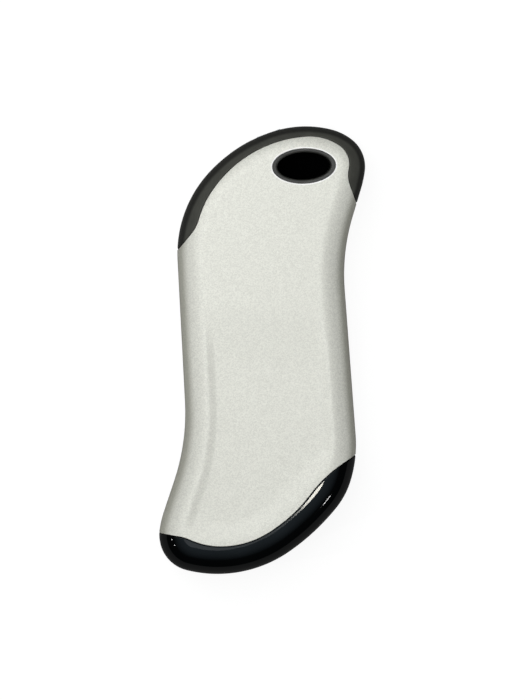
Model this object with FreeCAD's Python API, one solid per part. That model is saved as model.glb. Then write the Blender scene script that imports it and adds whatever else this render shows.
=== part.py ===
import FreeCAD, Part
import math
import os
from collections import namedtuple

# A rechargeable, dual-sided hand warmer with an S-curved body. Millimetres and degrees.
# It lies on its back: +Z points out of its front face and +Y towards the head with the eyelet.
# The origin is on the rear face, under the middle of the body's bounding box.

# Body section
THICKNESS = 26.0
EDGE_ROLL = 7.0
SHELL_WALL = 0.8
CAP_WALL = 1.9
CHASSIS_WALL = 1.55
PLATE_WALL = 0.9

# Body outline, anticlockwise from the lower end of the waist. Every arc is tangent to its
# neighbours. The sole flat's radius and turn and the right flank's length close the loop.
START_HEADING = 94.3
WAIST_RADIUS = 55.6
WAIST_TURN = 21.0
NECK_LENGTH = 8.3
NOSE_SIDE_RADIUS = 30.4
NOSE_SIDE_TURN = 9.1
NOSE_RADIUS = 9.6
NOSE_TURN = 59.7
NOSE_TOP_RADIUS = 15.4
NOSE_TOP_TURN = 24.0
BROW_RADIUS = 29.4
BROW_TURN = 32.1
CROWN_RADIUS = 41.7
CROWN_TURN = 28.8
SHOULDER_RADIUS = 33.5
SHOULDER_TURN = 46.0
LEFT_FLANK_LENGTH = 39.5
INSTEP_RADIUS = 60.0
INSTEP_TURN = 21.5
SHIN_LENGTH = 8.9
TOE_SIDE_RADIUS = 30.2
TOE_SIDE_TURN = 9.9
TOE_RADIUS = 9.9
TOE_TURN = 84.2
SOLE_RADIUS = 35.1
SOLE_TURN = 49.2
KNUCKLE_RADIUS = 22.3
KNUCKLE_TURN = 22.0
HEEL_RADIUS = 34.8
HEEL_TURN = 21.2

# Parting line between the shells and the head cap, from right to left over the head
HEAD_BAND = 2.75
HEAD_SEAM_HEADING = 184.0
NECK_FLARE_RADIUS = 7.8
NECK_FLARE_TURN = 33.3
HEAD_SEAM_NOSE_RADIUS = 6.4
HEAD_SEAM_NOSE_TURN = 68.2
HEAD_SEAM_BROW_RADIUS = 14.7
HEAD_SEAM_BROW_TURN = 38.2
HEAD_SEAM_CROWN_RADIUS = 34.4
HEAD_SEAM_CROWN_TURN = 53.9
HEAD_SEAM_SHOULDER_RADIUS = 27.2
HEAD_SEAM_SHOULDER_TURN = 16.1
SHOULDER_FLARE_RADIUS = 12.0
SHOULDER_FLARE_TURN = 23.7

# Parting line between the shells and the base cap, from left to right under the shells
BASE_BAND = 7.8
BASE_SEAM_HEADING = -2.1
TOE_FLARE_RADIUS = 13.5
TOE_FLARE_TURN = 14.8
BASE_SEAM_TOE_RADIUS = 20.1
BASE_SEAM_TOE_TURN = 22.0
BASE_SEAM_SOLE_RADIUS = 24.7
BASE_SEAM_SOLE_TURN = 32.7
BASE_SEAM_FLAT_RADIUS = 42.4
BASE_SEAM_FLAT_TURN = 22.7
HEEL_FLARE_RADIUS = 35.1
HEEL_FLARE_TURN = 20.1

# How the casing meets itself
SEAM_GAP = 0.14
SHELL_GAP = 0.16
TONGUE_REACH = 2.0
SLIP_GAP = 0.1
CASE_GAP = 0.15
HALF_GAP = 0.1
PART_GAP = 0.25

# Palm dish in the lower half of the front face
DISH_DEPTH = 0.35
DISH_RIM_INSET = 4.6
DISH_FLOOR_INSET = 8.6
DISH_TOP = 14.0
DISH_TOP_RUN = 16.0
DISH_SEAM_MARGIN = 0.6
DISH_SEAM_RUN = 4.0

# Lanyard eyelet, an elliptical tube right through the head, thicker at its two ends
EYELET_BACK = 7.5
EYELET_RISE = 0.2
EYELET_TILT = 2.4
EYELET_LENGTH = 14.9
EYELET_HEIGHT = 7.6
EYELET_WALL = 1.0
EYELET_END_WALL = 1.3
EYELET_SINK = 0.1
EYELET_LIP = 0.5
COLLAR_WIDTH = 1.0
COLLAR_THICKNESS = 1.0
HOLE_BEVEL = 0.3

# Two lithium cells side by side along the grip
CELL_SPLIT = 0.5
CELL_SIDE_GAP = 0.3
CELL_HEEL_RUN = 7.0
CELL_EDGE = 0.75
NUB_RADIUS = 2.9
NUB_HEIGHT = 1.0
TAB_THICKNESS = 0.15
TAB_WIDTH = 7.0
TAB_LENGTH = 25.0
INSULATOR_THICKNESS = 0.4
CONTACT_GAP = 0.05

# Heating films and their insulation
FILM_THICKNESS = 0.3
FOAM_THICKNESS = 1.1
FILM_INSET = 8.4
FILM_TOP = 38.0
FILM_BOTTOM = -32.0
THERMISTOR_LENGTH = 3.0
THERMISTOR_WIDTH = 1.6
THERMISTOR_HEIGHT = 0.8

# Chassis
RIB_THICKNESS = 1.4
RIB_HEIGHT = 5.0
RIB_SPACING = 22.0
RIB_COUNT = 3
BOSS_RADIUS = 2.6
BOSS_INSET = 8.6
SCREW_RADIUS = 0.95
SCREW_HEAD_RADIUS = 1.9
SCREW_HEAD_HEIGHT = 1.4
SCREW_LENGTH = 13.0
SCREW_SINK = 0.6

# Circuit board in the head
BOARD_THICKNESS = 1.0
BOARD_GAP = 0.4
BOARD_SETBACK = 2.4
BOARD_RIGHT = 0.8
BOARD_NOTCH = 5.7
BOARD_ROOM = 13.5
POST_RADIUS = 2.1
BOARD_SCREW_RADIUS = 0.75
BOARD_SCREW_HEAD_RADIUS = 1.6
BOARD_SCREW_HEAD_HEIGHT = 0.9
BOARD_SCREW_LENGTH = 5.0
BOARD_SCREW_MARGIN = 3.0
BOARD_SCREW_SHIFT = 2.5
CHARGER_X = 3.5
CHARGER_SIZE = 4.0
CONVERTER_X = -6.5
CONVERTER_SIZE = 5.0
CHIP_HEIGHT = 0.9
CHIP_SETBACK = 4.6
INDUCTOR_SIZE = 5.0
INDUCTOR_HEIGHT = 3.2
INDUCTOR_CHAMFER = 0.6
CAPACITOR_HEADING = 246.0
CAPACITOR_COUNT = 3
CAPACITOR_PITCH = 2.4
CAPACITOR_LENGTH = 3.2
CAPACITOR_WIDTH = 1.6
CAPACITOR_HEIGHT = 1.5
CAPACITOR_MARGIN = 0.6

# Sockets, button and lamps, each set by the heading of the outline where it sits
PORT_RECESS = 0.8
PORT_CLEARANCE = 0.3
USB_HEADING = 228.8
USB_WIDTH = 13.1
USB_HEIGHT = 5.7
USB_DEPTH = 14.0
USB_WALL = 0.3
USB_TONGUE_WIDTH = 11.1
USB_TONGUE_HEIGHT = 1.84
USB_TONGUE_DEPTH = 8.4
USB_TONGUE_DROP = 1.1
USB_BLOCK_DEPTH = 4.0
USB_CONTACT_COUNT = 4
USB_CONTACT_SETBACK = 1.0
USB_CONTACT_WIDTH = 1.0
USB_CONTACT_PITCH = 2.3
USB_CONTACT_THICKNESS = 0.15
USB_CONTACT_LENGTH = 7.0
CHARGE_HEADING = 253.0
CHARGE_WIDTH = 7.5
CHARGE_HEIGHT = 2.5
CHARGE_DEPTH = 5.0
CHARGE_WALL = 0.25
CHARGE_TONGUE_WIDTH = 3.6
CHARGE_TONGUE_HEIGHT = 0.6
CHARGE_TONGUE_DEPTH = 2.8
CHARGE_BLOCK_DEPTH = 1.0
BUTTON_HEADING = 211.6
BUTTON_LENGTH = 7.0
BUTTON_HEIGHT = 3.6
BUTTON_PROUD = 0.05
BUTTON_TRAVEL = 0.4
BUTTON_FLANGE = 0.6
BUTTON_FLANGE_GAP = 0.5
BUTTON_FLANGE_THICKNESS = 0.7
BUTTON_STEM_RADIUS = 1.2
BUTTON_STEM_LENGTH = 0.6
BUTTON_CLEARANCE = 0.08
SWITCH_WIDTH = 4.0
SWITCH_DEPTH = 2.5
SWITCH_HEIGHT = 4.8
PLUNGER_WIDTH = 2.0
PLUNGER_HEIGHT = 1.6
PLUNGER_LENGTH = 1.7
PLUNGER_PROUD = 1.45
LAMP_HEADING = 199.8
LAMP_COUNT = 4
LAMP_PITCH = 1.8
LAMP_RADIUS = 0.7
LAMP_CLEARANCE = 0.06
LIGHT_BAR_GAP = 0.4
LIGHT_BAR_DEPTH = 0.8
LIGHT_BAR_MARGIN = 1.0
LED_LENGTH = 1.2
LED_DEPTH = 0.6
LED_HEIGHT = 0.8

# Leads
LEAD_RADIUS = 0.6
LEAD_BEND = 1.8
LEAD_HEIGHT = 6.5
LEAD_SETBACK = 4.0
HEATER_LEAD_X = 4.0
HEATER_LEAD_PITCH = 2.5
POSITIVE_LEAD_X = -3.0

# Extents of cutting tools
FAR = 90.0
RUNOUT = 12.0
OVERRUN = 1.0

TOP = THICKNESS
MIDDLE = THICKNESS / 2
UP = FreeCAD.Vector(0, 0, 1)
CHASSIS_INSET = CAP_WALL + CASE_GAP
CAVITY_INSET = CHASSIS_INSET + CHASSIS_WALL
BUTTON_FLANGE_INSET = CAP_WALL + BUTTON_FLANGE_GAP
PLUNGER_INSET = BUTTON_FLANGE_INSET + BUTTON_FLANGE_THICKNESS + BUTTON_STEM_LENGTH + CONTACT_GAP
SWITCH_INSET = PLUNGER_INSET + PLUNGER_PROUD
LIGHT_BAR_INSET = CAVITY_INSET + LIGHT_BAR_GAP

Span = namedtuple("Span", "start end heading turned centre radius")


# Tangent paths

def flat(x, y, z=0.0):
    return FreeCAD.Vector(x, y, z)


def along(heading):
    angle = math.radians(heading)
    return flat(math.cos(angle), math.sin(angle))


def outward(heading):
    """The normal to the right of a path, which is out of the body."""
    angle = math.radians(heading)
    return flat(math.sin(angle), -math.cos(angle))


def follow(start, heading, steps):
    """Tangent spans from a point. A step is (radius, turn) or (None, length).
    A positive turn bulges outward and a negative one is a hollow."""
    spans = []
    point = start
    for radius, amount in steps:
        if radius is None:
            end = point + along(heading) * amount
            spans.append(Span(point, end, heading, heading, None, None))
        else:
            signed = math.copysign(radius, amount)
            centre = point - outward(heading) * signed
            turned = heading + amount
            end = centre + outward(turned) * signed
            spans.append(Span(point, end, heading, turned, centre, signed))
            heading = turned
        point = end
    return spans


def span_edge(span, inset):
    """One span, moved towards the left of its path by inset."""
    start = span.start - outward(span.heading) * inset
    end = span.end - outward(span.turned) * inset
    if span.radius is None:
        return Part.LineSegment(start, end).toShape()
    halfway = outward((span.heading + span.turned) / 2)
    middle = span.centre + halfway * (span.radius - inset)
    return Part.Arc(start, middle, end).toShape()


def outline_steps(sole_flat_radius, right_flank_length):
    turns = [-WAIST_TURN, NOSE_SIDE_TURN, NOSE_TURN, NOSE_TOP_TURN, BROW_TURN, CROWN_TURN,
             SHOULDER_TURN, -INSTEP_TURN, TOE_SIDE_TURN, TOE_TURN, SOLE_TURN, KNUCKLE_TURN, HEEL_TURN]
    return [
        (WAIST_RADIUS, -WAIST_TURN),
        (None, NECK_LENGTH),
        (NOSE_SIDE_RADIUS, NOSE_SIDE_TURN),
        (NOSE_RADIUS, NOSE_TURN),
        (NOSE_TOP_RADIUS, NOSE_TOP_TURN),
        (BROW_RADIUS, BROW_TURN),
        (CROWN_RADIUS, CROWN_TURN),
        (SHOULDER_RADIUS, SHOULDER_TURN),
        (None, LEFT_FLANK_LENGTH),
        (INSTEP_RADIUS, -INSTEP_TURN),
        (None, SHIN_LENGTH),
        (TOE_SIDE_RADIUS, TOE_SIDE_TURN),
        (TOE_RADIUS, TOE_TURN),
        (SOLE_RADIUS, SOLE_TURN),
        (sole_flat_radius, 360 - sum(turns)),
        (KNUCKLE_RADIUS, KNUCKLE_TURN),
        (HEEL_RADIUS, HEEL_TURN),
        (None, right_flank_length),
    ]


def closed_outline():
    """The outline's spans, closed exactly and centred on the origin."""
    def miss(radius, length):
        return follow(flat(0, 0), START_HEADING, outline_steps(radius, length))[-1].end

    base = miss(0, 0)
    by_radius = miss(1, 0) - base
    by_length = miss(0, 1) - base
    area = by_radius.x * by_length.y - by_radius.y * by_length.x
    radius = (base.y * by_length.x - base.x * by_length.y) / area
    length = (base.x * by_radius.y - base.y * by_radius.x) / area
    steps = outline_steps(radius, length)
    loop = follow(flat(0, 0), START_HEADING, steps)
    middle = flat((reach(loop, 90).x + reach(loop, 270).x) / 2,
                  (reach(loop, 180).y + reach(loop, 0).y) / 2)
    return follow(flat(0, 0) - middle, START_HEADING, steps)


def reach(spans, heading):
    """The loop's furthest point in the direction of a heading's outward normal."""
    direction = outward(heading)
    best = None
    for span in spans:
        spots = [span.start]
        if span.radius is not None:
            for whole in (0, 360):
                if span.heading <= heading + whole <= span.turned:
                    spots.append(span.centre + direction * span.radius)
        for spot in spots:
            if best is None or spot.dot(direction) > best.dot(direction):
                best = spot
    return best


OUTLINE = closed_outline()
(WAIST, NECK, NOSE_SIDE, NOSE, NOSE_TOP, BROW, CROWN, SHOULDER, LEFT_FLANK, INSTEP, SHIN,
 TOE_SIDE, TOE, SOLE, SOLE_FLAT, KNUCKLE, HEEL, RIGHT_FLANK) = OUTLINE
EYELET_CENTRE = NOSE.centre + flat(-EYELET_BACK, EYELET_RISE)


def seam(anchor, heading, before, after):
    """A parting line through an anchor, with straight run-outs past both sides of the body."""
    back = follow(anchor, heading + 180, [(radius, -turn) for radius, turn in reversed(before)])[-1]
    first = back.end + along(back.turned) * RUNOUT
    steps = [(None, RUNOUT)] + before + after + [(None, RUNOUT)]
    return follow(first, back.turned - 180, steps)


HEAD_SEAM = seam(
    reach(OUTLINE, 180) - outward(180) * HEAD_BAND,
    HEAD_SEAM_HEADING,
    [(NECK_FLARE_RADIUS, -NECK_FLARE_TURN),
     (HEAD_SEAM_NOSE_RADIUS, HEAD_SEAM_NOSE_TURN),
     (HEAD_SEAM_BROW_RADIUS, HEAD_SEAM_BROW_TURN)],
    [(HEAD_SEAM_CROWN_RADIUS, HEAD_SEAM_CROWN_TURN),
     (HEAD_SEAM_SHOULDER_RADIUS, HEAD_SEAM_SHOULDER_TURN),
     (SHOULDER_FLARE_RADIUS, -SHOULDER_FLARE_TURN)])

BASE_SEAM = seam(
    reach(OUTLINE, 0) - outward(0) * BASE_BAND,
    BASE_SEAM_HEADING,
    [(TOE_FLARE_RADIUS, -TOE_FLARE_TURN),
     (BASE_SEAM_TOE_RADIUS, BASE_SEAM_TOE_TURN)],
    [(BASE_SEAM_SOLE_RADIUS, BASE_SEAM_SOLE_TURN),
     (BASE_SEAM_FLAT_RADIUS, BASE_SEAM_FLAT_TURN),
     (HEEL_FLARE_RADIUS, -HEEL_FLARE_TURN)])


# Solids from the outline and the seams

def prism(edges, low, high):
    """A straight-sided solid on a closed loop of edges."""
    base = Part.Face(Part.Wire(edges)).translated(UP * low)
    return base.extrude(UP * (high - low))


def column(inset, low, high):
    return prism([span_edge(span, inset) for span in OUTLINE], low, high)


def envelope(inset):
    """The body's whole outer form, shrunk evenly by inset."""
    body = column(inset, inset, TOP - inset)
    rims = [edge for edge in body.Edges if edge.BoundBox.ZLength < 0.001]
    return body.makeFillet(EDGE_ROLL - inset, rims)


def hollow(outer_inset, inner_inset):
    return envelope(outer_inset).cut(envelope(inner_inset))


def beyond_edges(line, shift, side):
    """A loop round the cap's side of a parting line moved towards the shells by shift."""
    edges = [span_edge(span, shift) for span in line]
    first = line[0].start - outward(line[0].heading) * shift
    last = line[-1].end - outward(line[-1].turned) * shift
    wing = math.copysign(FAR, last.x)
    corners = [last, flat(wing, last.y), flat(wing, side * FAR), flat(-wing, side * FAR),
               flat(-wing, first.y), first]
    for near, far in zip(corners, corners[1:]):
        edges.append(Part.LineSegment(near, far).toShape())
    return edges


def head_side(shift):
    return prism(beyond_edges(HEAD_SEAM, shift, 1), -OVERRUN, TOP + OVERRUN)


def base_side(shift):
    return prism(beyond_edges(BASE_SEAM, shift, -1), -OVERRUN, TOP + OVERRUN)


def block(low, high):
    size = high - low
    return Part.makeBox(size.x, size.y, size.z, low)


def rod(radius, start, length, direction=UP):
    return Part.makeCylinder(radius, length, start, direction)


def fused(shapes):
    whole = shapes[0]
    if len(shapes) > 1:
        whole = whole.fuse(shapes[1:])
    return whole.removeSplitter()


# Local frames: the grip's centre line and spots on the outline of the head

GRIP_ORIGIN = (LEFT_FLANK.start + LEFT_FLANK.end + RIGHT_FLANK.start + RIGHT_FLANK.end) * 0.25
GRIP_HEADING = (LEFT_FLANK.heading + RIGHT_FLANK.heading - 540) / 2


def in_grip(shape):
    """Moves a shape drawn about the grip's centre line, with +Y along it, to its place."""
    shape.rotate(flat(0, 0), UP, GRIP_HEADING - 90)
    shape.translate(GRIP_ORIGIN)
    return shape


def in_grip_axes(spot):
    """A spot's place across and along the grip."""
    arm = spot - GRIP_ORIGIN
    return flat(arm.dot(outward(GRIP_HEADING)), arm.dot(along(GRIP_HEADING)))


def grip_box(x, y, z, width, length, height):
    """A block centred on x and y of the grip frame, standing on z."""
    low = flat(x - width / 2, y - length / 2, z)
    return in_grip(block(low, low + flat(width, length, height)))


def outline_spot(heading):
    """The point of the head's outline with this heading."""
    for span in (NOSE_SIDE, NOSE, NOSE_TOP, BROW, CROWN, SHOULDER):
        if span.heading <= heading <= span.turned:
            return span.centre + outward(heading) * span.radius
    return SHOULDER.end


def at_rim(shape, heading):
    """Moves a shape drawn with +Y out of the outline and +Z up to a spot on the head."""
    shape.rotate(flat(0, 0), UP, heading + 180)
    shape.translate(outline_spot(heading))
    return shape


def rim_box(heading, x, inset, z, width, depth, height):
    """A block centred on x, from inset inward by depth and up from z."""
    low = flat(x - width / 2, -inset - depth, z)
    return at_rim(block(low, low + flat(width, depth, height)), heading)


# Ovals and ellipses

def at_eyelet(shape):
    shape.rotate(flat(0, 0), UP, EYELET_TILT)
    shape.translate(EYELET_CENTRE)
    return shape


def ellipse_column(length, height, low, high):
    """An elliptical column in the eyelet's place."""
    rim = Part.Ellipse(flat(0, 0, low), length / 2, height / 2).toShape()
    column_shape = Part.Face(Part.Wire(rim)).extrude(UP * (high - low))
    return at_eyelet(column_shape)


def eyelet_opening(low, high):
    return ellipse_column(EYELET_LENGTH, EYELET_HEIGHT, low, high)


def eyelet_tube(margin, low, high):
    """The eyelet's outside, larger by margin all round."""
    return ellipse_column(EYELET_LENGTH + 2 * (EYELET_END_WALL + margin),
                          EYELET_HEIGHT + 2 * (EYELET_WALL + margin), low, high)


def oval_wire(length, height):
    """An oval in the XY plane: two straights and two half circles."""
    radius = height / 2
    run = (length - height) / 2
    left_low, right_low = flat(-run, -radius), flat(run, -radius)
    left_high, right_high = flat(-run, radius), flat(run, radius)
    return [
        Part.LineSegment(left_low, right_low).toShape(),
        Part.Arc(right_low, flat(run + radius, 0), right_high).toShape(),
        Part.LineSegment(right_high, left_high).toShape(),
        Part.Arc(left_high, flat(-run - radius, 0), left_low).toShape(),
    ]


def rim_oval(heading, length, height, inset, depth):
    """An oval block whose axis is the outline's normal, from inset inward by depth."""
    shape = prism(oval_wire(length, height), 0, depth)
    shape.rotate(flat(0, 0), flat(1, 0), 90)
    shape.translate(flat(0, -inset, MIDDLE))
    return at_rim(shape, heading)


# Casing

def dish_end():
    """A slope along the base cap's parting line, where the dish runs out."""
    near = TONGUE_REACH + DISH_SEAM_MARGIN
    loops = []
    for step in (-1, 2):
        loop = Part.Wire(beyond_edges(BASE_SEAM, near + step * DISH_SEAM_RUN, -1))
        loop.translate(UP * (TOP - step * DISH_DEPTH))
        loops.append(loop)
    return Part.makeLoft(loops, True, True)


def dish(drop):
    """The palm dish as a tool, its floor and walls lowered by drop."""
    rim = Part.Wire([span_edge(span, DISH_RIM_INSET) for span in OUTLINE])
    floor = Part.Wire([span_edge(span, DISH_FLOOR_INSET) for span in OUTLINE])
    rim.translate(UP * TOP)
    floor.translate(UP * (TOP - DISH_DEPTH))
    bowl = Part.makeLoft([rim, floor], True, True)
    profile = [flat(-FAR, DISH_TOP, TOP + OVERRUN), flat(-FAR, DISH_TOP, TOP),
               flat(-FAR, DISH_TOP - DISH_TOP_RUN, TOP - DISH_DEPTH),
               flat(-FAR, -FAR, TOP - DISH_DEPTH), flat(-FAR, -FAR, TOP + OVERRUN)]
    ramp = Part.Face(Part.makePolygon(profile + profile[:1])).extrude(flat(2 * FAR, 0))
    tool = bowl.common(ramp).cut(dish_end())
    tool.translate(UP * -drop)
    return tool


def eyelet_hole(face, sign):
    """The shell's hole for the eyelet, with a bevelled edge at the outer face."""
    rims = []
    for step in (-1, 1):
        margin = SLIP_GAP + (1 + step) * HOLE_BEVEL
        half_length = EYELET_LENGTH / 2 + EYELET_END_WALL + margin
        half_height = EYELET_HEIGHT / 2 + EYELET_WALL + margin
        level = face + sign * step * HOLE_BEVEL
        rims.append(Part.Wire(Part.Ellipse(flat(0, 0, level), half_length, half_height).toShape()))
    bevel = at_eyelet(Part.makeLoft(rims, True, True))
    through = SHELL_WALL + OVERRUN
    return eyelet_tube(SLIP_GAP, face - through, face + through).fuse(bevel)


def shell_region(shape):
    """What is left of a shape between the two caps."""
    return shape.cut([head_side(SEAM_GAP / 2), base_side(SEAM_GAP / 2)])


def front_shell():
    outside = envelope(0).cut(dish(0))
    inside = envelope(SHELL_WALL).cut(dish(SHELL_WALL))
    above = block(flat(-FAR, -FAR, MIDDLE + SHELL_GAP / 2), flat(FAR, FAR, TOP + OVERRUN))
    skin = outside.cut(inside).common(above)
    return shell_region(skin).cut(eyelet_hole(TOP, 1))


def rear_shell():
    below = block(flat(-FAR, -FAR, -OVERRUN), flat(FAR, FAR, MIDDLE - SHELL_GAP / 2))
    skin = hollow(0, SHELL_WALL).common(below)
    return shell_region(skin).cut(eyelet_hole(0, -1))


def cap(side):
    """A moulded cap with a tongue that reaches under both shells."""
    body = hollow(0, CAP_WALL).common(side(-SEAM_GAP / 2))
    tongue = hollow(SHELL_WALL + SLIP_GAP, CAP_WALL).common(side(TONGUE_REACH))
    return body.fuse(tongue)


def usb_opening(margin, inset, depth):
    return rim_box(USB_HEADING, 0, inset, MIDDLE - USB_HEIGHT / 2 - margin,
                   USB_WIDTH + 2 * margin, depth, USB_HEIGHT + 2 * margin)


def charge_opening(margin, inset, depth):
    return rim_box(CHARGE_HEADING, 0, inset, BOARD_TOP + CONTACT_GAP - margin,
                   CHARGE_WIDTH + 2 * margin, depth, CHARGE_HEIGHT + 2 * margin)


def row_offsets(count, pitch):
    """Places of a row, centred on 0."""
    return [(index - (count - 1) / 2) * pitch for index in range(count)]


def lamp_rods(radius, inset, depth):
    rods = []
    for offset in row_offsets(LAMP_COUNT, LAMP_PITCH):
        start = flat(offset, -inset, MIDDLE)
        rods.append(at_rim(rod(radius, start, depth, flat(0, -1)), LAMP_HEADING))
    return rods


def head_cap():
    depth = CAP_WALL + 2 * OVERRUN
    openings = [
        usb_opening(PORT_CLEARANCE, -OVERRUN, depth),
        charge_opening(PORT_CLEARANCE, -OVERRUN, depth),
        rim_oval(BUTTON_HEADING, BUTTON_LENGTH + 2 * BUTTON_CLEARANCE,
                 BUTTON_HEIGHT + 2 * BUTTON_CLEARANCE, -OVERRUN, depth),
    ]
    lamp_holes = lamp_rods(LAMP_RADIUS + LAMP_CLEARANCE, -OVERRUN, depth)
    return cap(head_side).cut(openings + lamp_holes)


def base_cap():
    return cap(base_side)


def eyelet(outer, inner, under):
    """Half of the eyelet, from its flush rim at outer to the joint at inner."""
    low, high = min(outer, inner), max(outer, inner)
    tube = eyelet_tube(0, low, high)
    collar = eyelet_tube(COLLAR_WIDTH, min(under), max(under))
    collar = collar.common(envelope(SHELL_WALL + SLIP_GAP)).cut(head_side(TONGUE_REACH + SLIP_GAP))
    half = tube.fuse(collar).cut(eyelet_opening(low - OVERRUN, high + OVERRUN))
    rims = [edge for edge in half.Edges
            if edge.BoundBox.ZLength < 0.001 and abs(edge.CenterOfMass.z - outer) < 0.001]
    mouth = min(rims, key=lambda edge: edge.Length)
    return half.makeFillet(EYELET_LIP, [mouth])


def eyelet_front():
    under = TOP - SHELL_WALL - SLIP_GAP
    return eyelet(TOP - EYELET_SINK, MIDDLE + HALF_GAP / 2, (under, under - COLLAR_THICKNESS))


def eyelet_rear():
    under = SHELL_WALL + SLIP_GAP
    return eyelet(EYELET_SINK, MIDDLE - HALF_GAP / 2, (under, under + COLLAR_THICKNESS))


# Heating layers

FRONT_FILM_TOP = TOP - SHELL_WALL - DISH_DEPTH - CONTACT_GAP
REAR_FILM_LOW = SHELL_WALL + CONTACT_GAP


def heated_area(low, high, margin=0.0):
    """The flat of the grip, as one column between two heights."""
    length = FILM_TOP - FILM_BOTTOM + 2 * margin
    middle = (FILM_TOP + FILM_BOTTOM) / 2
    band = grip_box(0, middle, low, FAR, length, high - low)
    return column(FILM_INSET - margin, low, high).common(band)


def front_heater():
    return heated_area(FRONT_FILM_TOP - FILM_THICKNESS, FRONT_FILM_TOP)


def rear_heater():
    return heated_area(REAR_FILM_LOW, REAR_FILM_LOW + FILM_THICKNESS)


FRONT_FOAM_TOP = FRONT_FILM_TOP - FILM_THICKNESS - CONTACT_GAP
REAR_FOAM_LOW = REAR_FILM_LOW + FILM_THICKNESS + CONTACT_GAP
FRONT_PLATE_TOP = FRONT_FOAM_TOP - FOAM_THICKNESS - CONTACT_GAP
REAR_PLATE_LOW = REAR_FOAM_LOW + FOAM_THICKNESS + CONTACT_GAP


def lead_holes(low, high):
    """Clearance round the heater's leads."""
    holes = []
    for x in heater_lead_offsets():
        holes.append(in_grip(rod(LEAD_RADIUS + PART_GAP, flat(x, lead_row(), low), high - low)))
    return holes


def front_insulation():
    low = FRONT_FOAM_TOP - FOAM_THICKNESS
    pocket = grip_box(0, 0, low - OVERRUN, THERMISTOR_LENGTH + 2 * PART_GAP,
                      THERMISTOR_WIDTH + 2 * PART_GAP, FOAM_THICKNESS + 2 * OVERRUN)
    return heated_area(low, FRONT_FOAM_TOP).cut([pocket] + lead_holes(low - OVERRUN, TOP))


def rear_insulation():
    high = REAR_FOAM_LOW + FOAM_THICKNESS
    return heated_area(REAR_FOAM_LOW, high).cut(lead_holes(0, high + OVERRUN))


def thermistor():
    bead = grip_box(0, 0, FRONT_FOAM_TOP - THERMISTOR_HEIGHT, THERMISTOR_LENGTH, THERMISTOR_WIDTH,
                    THERMISTOR_HEIGHT)
    return bead.makeFillet(THERMISTOR_HEIGHT / 4, bead.Edges)


# Battery

def cell_radius():
    """The largest pair of cells between the trays' plates and between their side walls."""
    deep = FRONT_PLATE_TOP - PLATE_WALL - MIDDLE - PART_GAP
    flank_ends = [LEFT_FLANK.start, LEFT_FLANK.end, RIGHT_FLANK.start, RIGHT_FLANK.end]
    narrowest = min(abs(in_grip_axes(spot).x) for spot in flank_ends)
    across = (narrowest - CAVITY_INSET - CELL_SPLIT / 2 - CELL_SIDE_GAP) / 2
    return min(deep, across)


CELL_RADIUS = cell_radius()
CELL_OFFSET = CELL_RADIUS + CELL_SPLIT / 2
CELL_TOP = in_grip_axes(EYELET_CENTRE).y - EYELET_HEIGHT / 2 - EYELET_WALL - BOARD_ROOM
CELL_BOTTOM = in_grip_axes(HEEL.end).y - CELL_HEEL_RUN
CELL_LENGTH = CELL_TOP - CELL_BOTTOM


def cell(side):
    """A steel-canned cell with its raised positive terminal at the top."""
    can = rod(CELL_RADIUS, flat(side * CELL_OFFSET, CELL_BOTTOM, MIDDLE),
              CELL_LENGTH - NUB_HEIGHT, flat(0, 1))
    ends = [edge for edge in can.Edges if edge.BoundBox.YLength < 0.001]
    can = can.makeFillet(CELL_EDGE, ends)
    nub = rod(NUB_RADIUS, flat(side * CELL_OFFSET, CELL_TOP - NUB_HEIGHT, MIDDLE), NUB_HEIGHT,
              flat(0, 1))
    return in_grip(can.fuse(nub))


def cell_insulators():
    """A fibre ring round each positive terminal."""
    rings = []
    for side in (-1, 1):
        start = flat(side * CELL_OFFSET, CELL_TOP - NUB_HEIGHT + CONTACT_GAP, MIDDLE)
        ring = rod(CELL_RADIUS - PART_GAP, start, INSULATOR_THICKNESS, flat(0, 1))
        hole = rod(NUB_RADIUS + PART_GAP, start, INSULATOR_THICKNESS, flat(0, 1))
        rings.append(in_grip(ring.cut(hole)))
    return Part.makeCompound(rings)


def cell_tab(y):
    return grip_box(0, y, MIDDLE - TAB_WIDTH / 2, TAB_LENGTH, TAB_THICKNESS, TAB_WIDTH)


TOP_TAB_Y = CELL_TOP + CONTACT_GAP + TAB_THICKNESS / 2
BOTTOM_TAB_Y = CELL_BOTTOM - CONTACT_GAP - TAB_THICKNESS / 2


# Circuit board and what it carries

BOARD_TOP = MIDDLE - USB_HEIGHT / 2 - CONTACT_GAP
BOARD_LOW = BOARD_TOP - BOARD_THICKNESS
BOARD_EDGE = CELL_TOP + BOARD_SETBACK
LEFT_BOARD_SCREW = EYELET_CENTRE - flat(EYELET_LENGTH / 2 + EYELET_END_WALL + BOARD_SCREW_MARGIN,
                                        BOARD_SCREW_SHIFT)
LOWER_BOARD_SCREW = EYELET_CENTRE - flat(BOARD_SCREW_SHIFT,
                                         EYELET_HEIGHT / 2 + EYELET_WALL + BOARD_SCREW_MARGIN)
BOARD_SCREW_SPOTS = [LEFT_BOARD_SCREW, LOWER_BOARD_SCREW]


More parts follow.
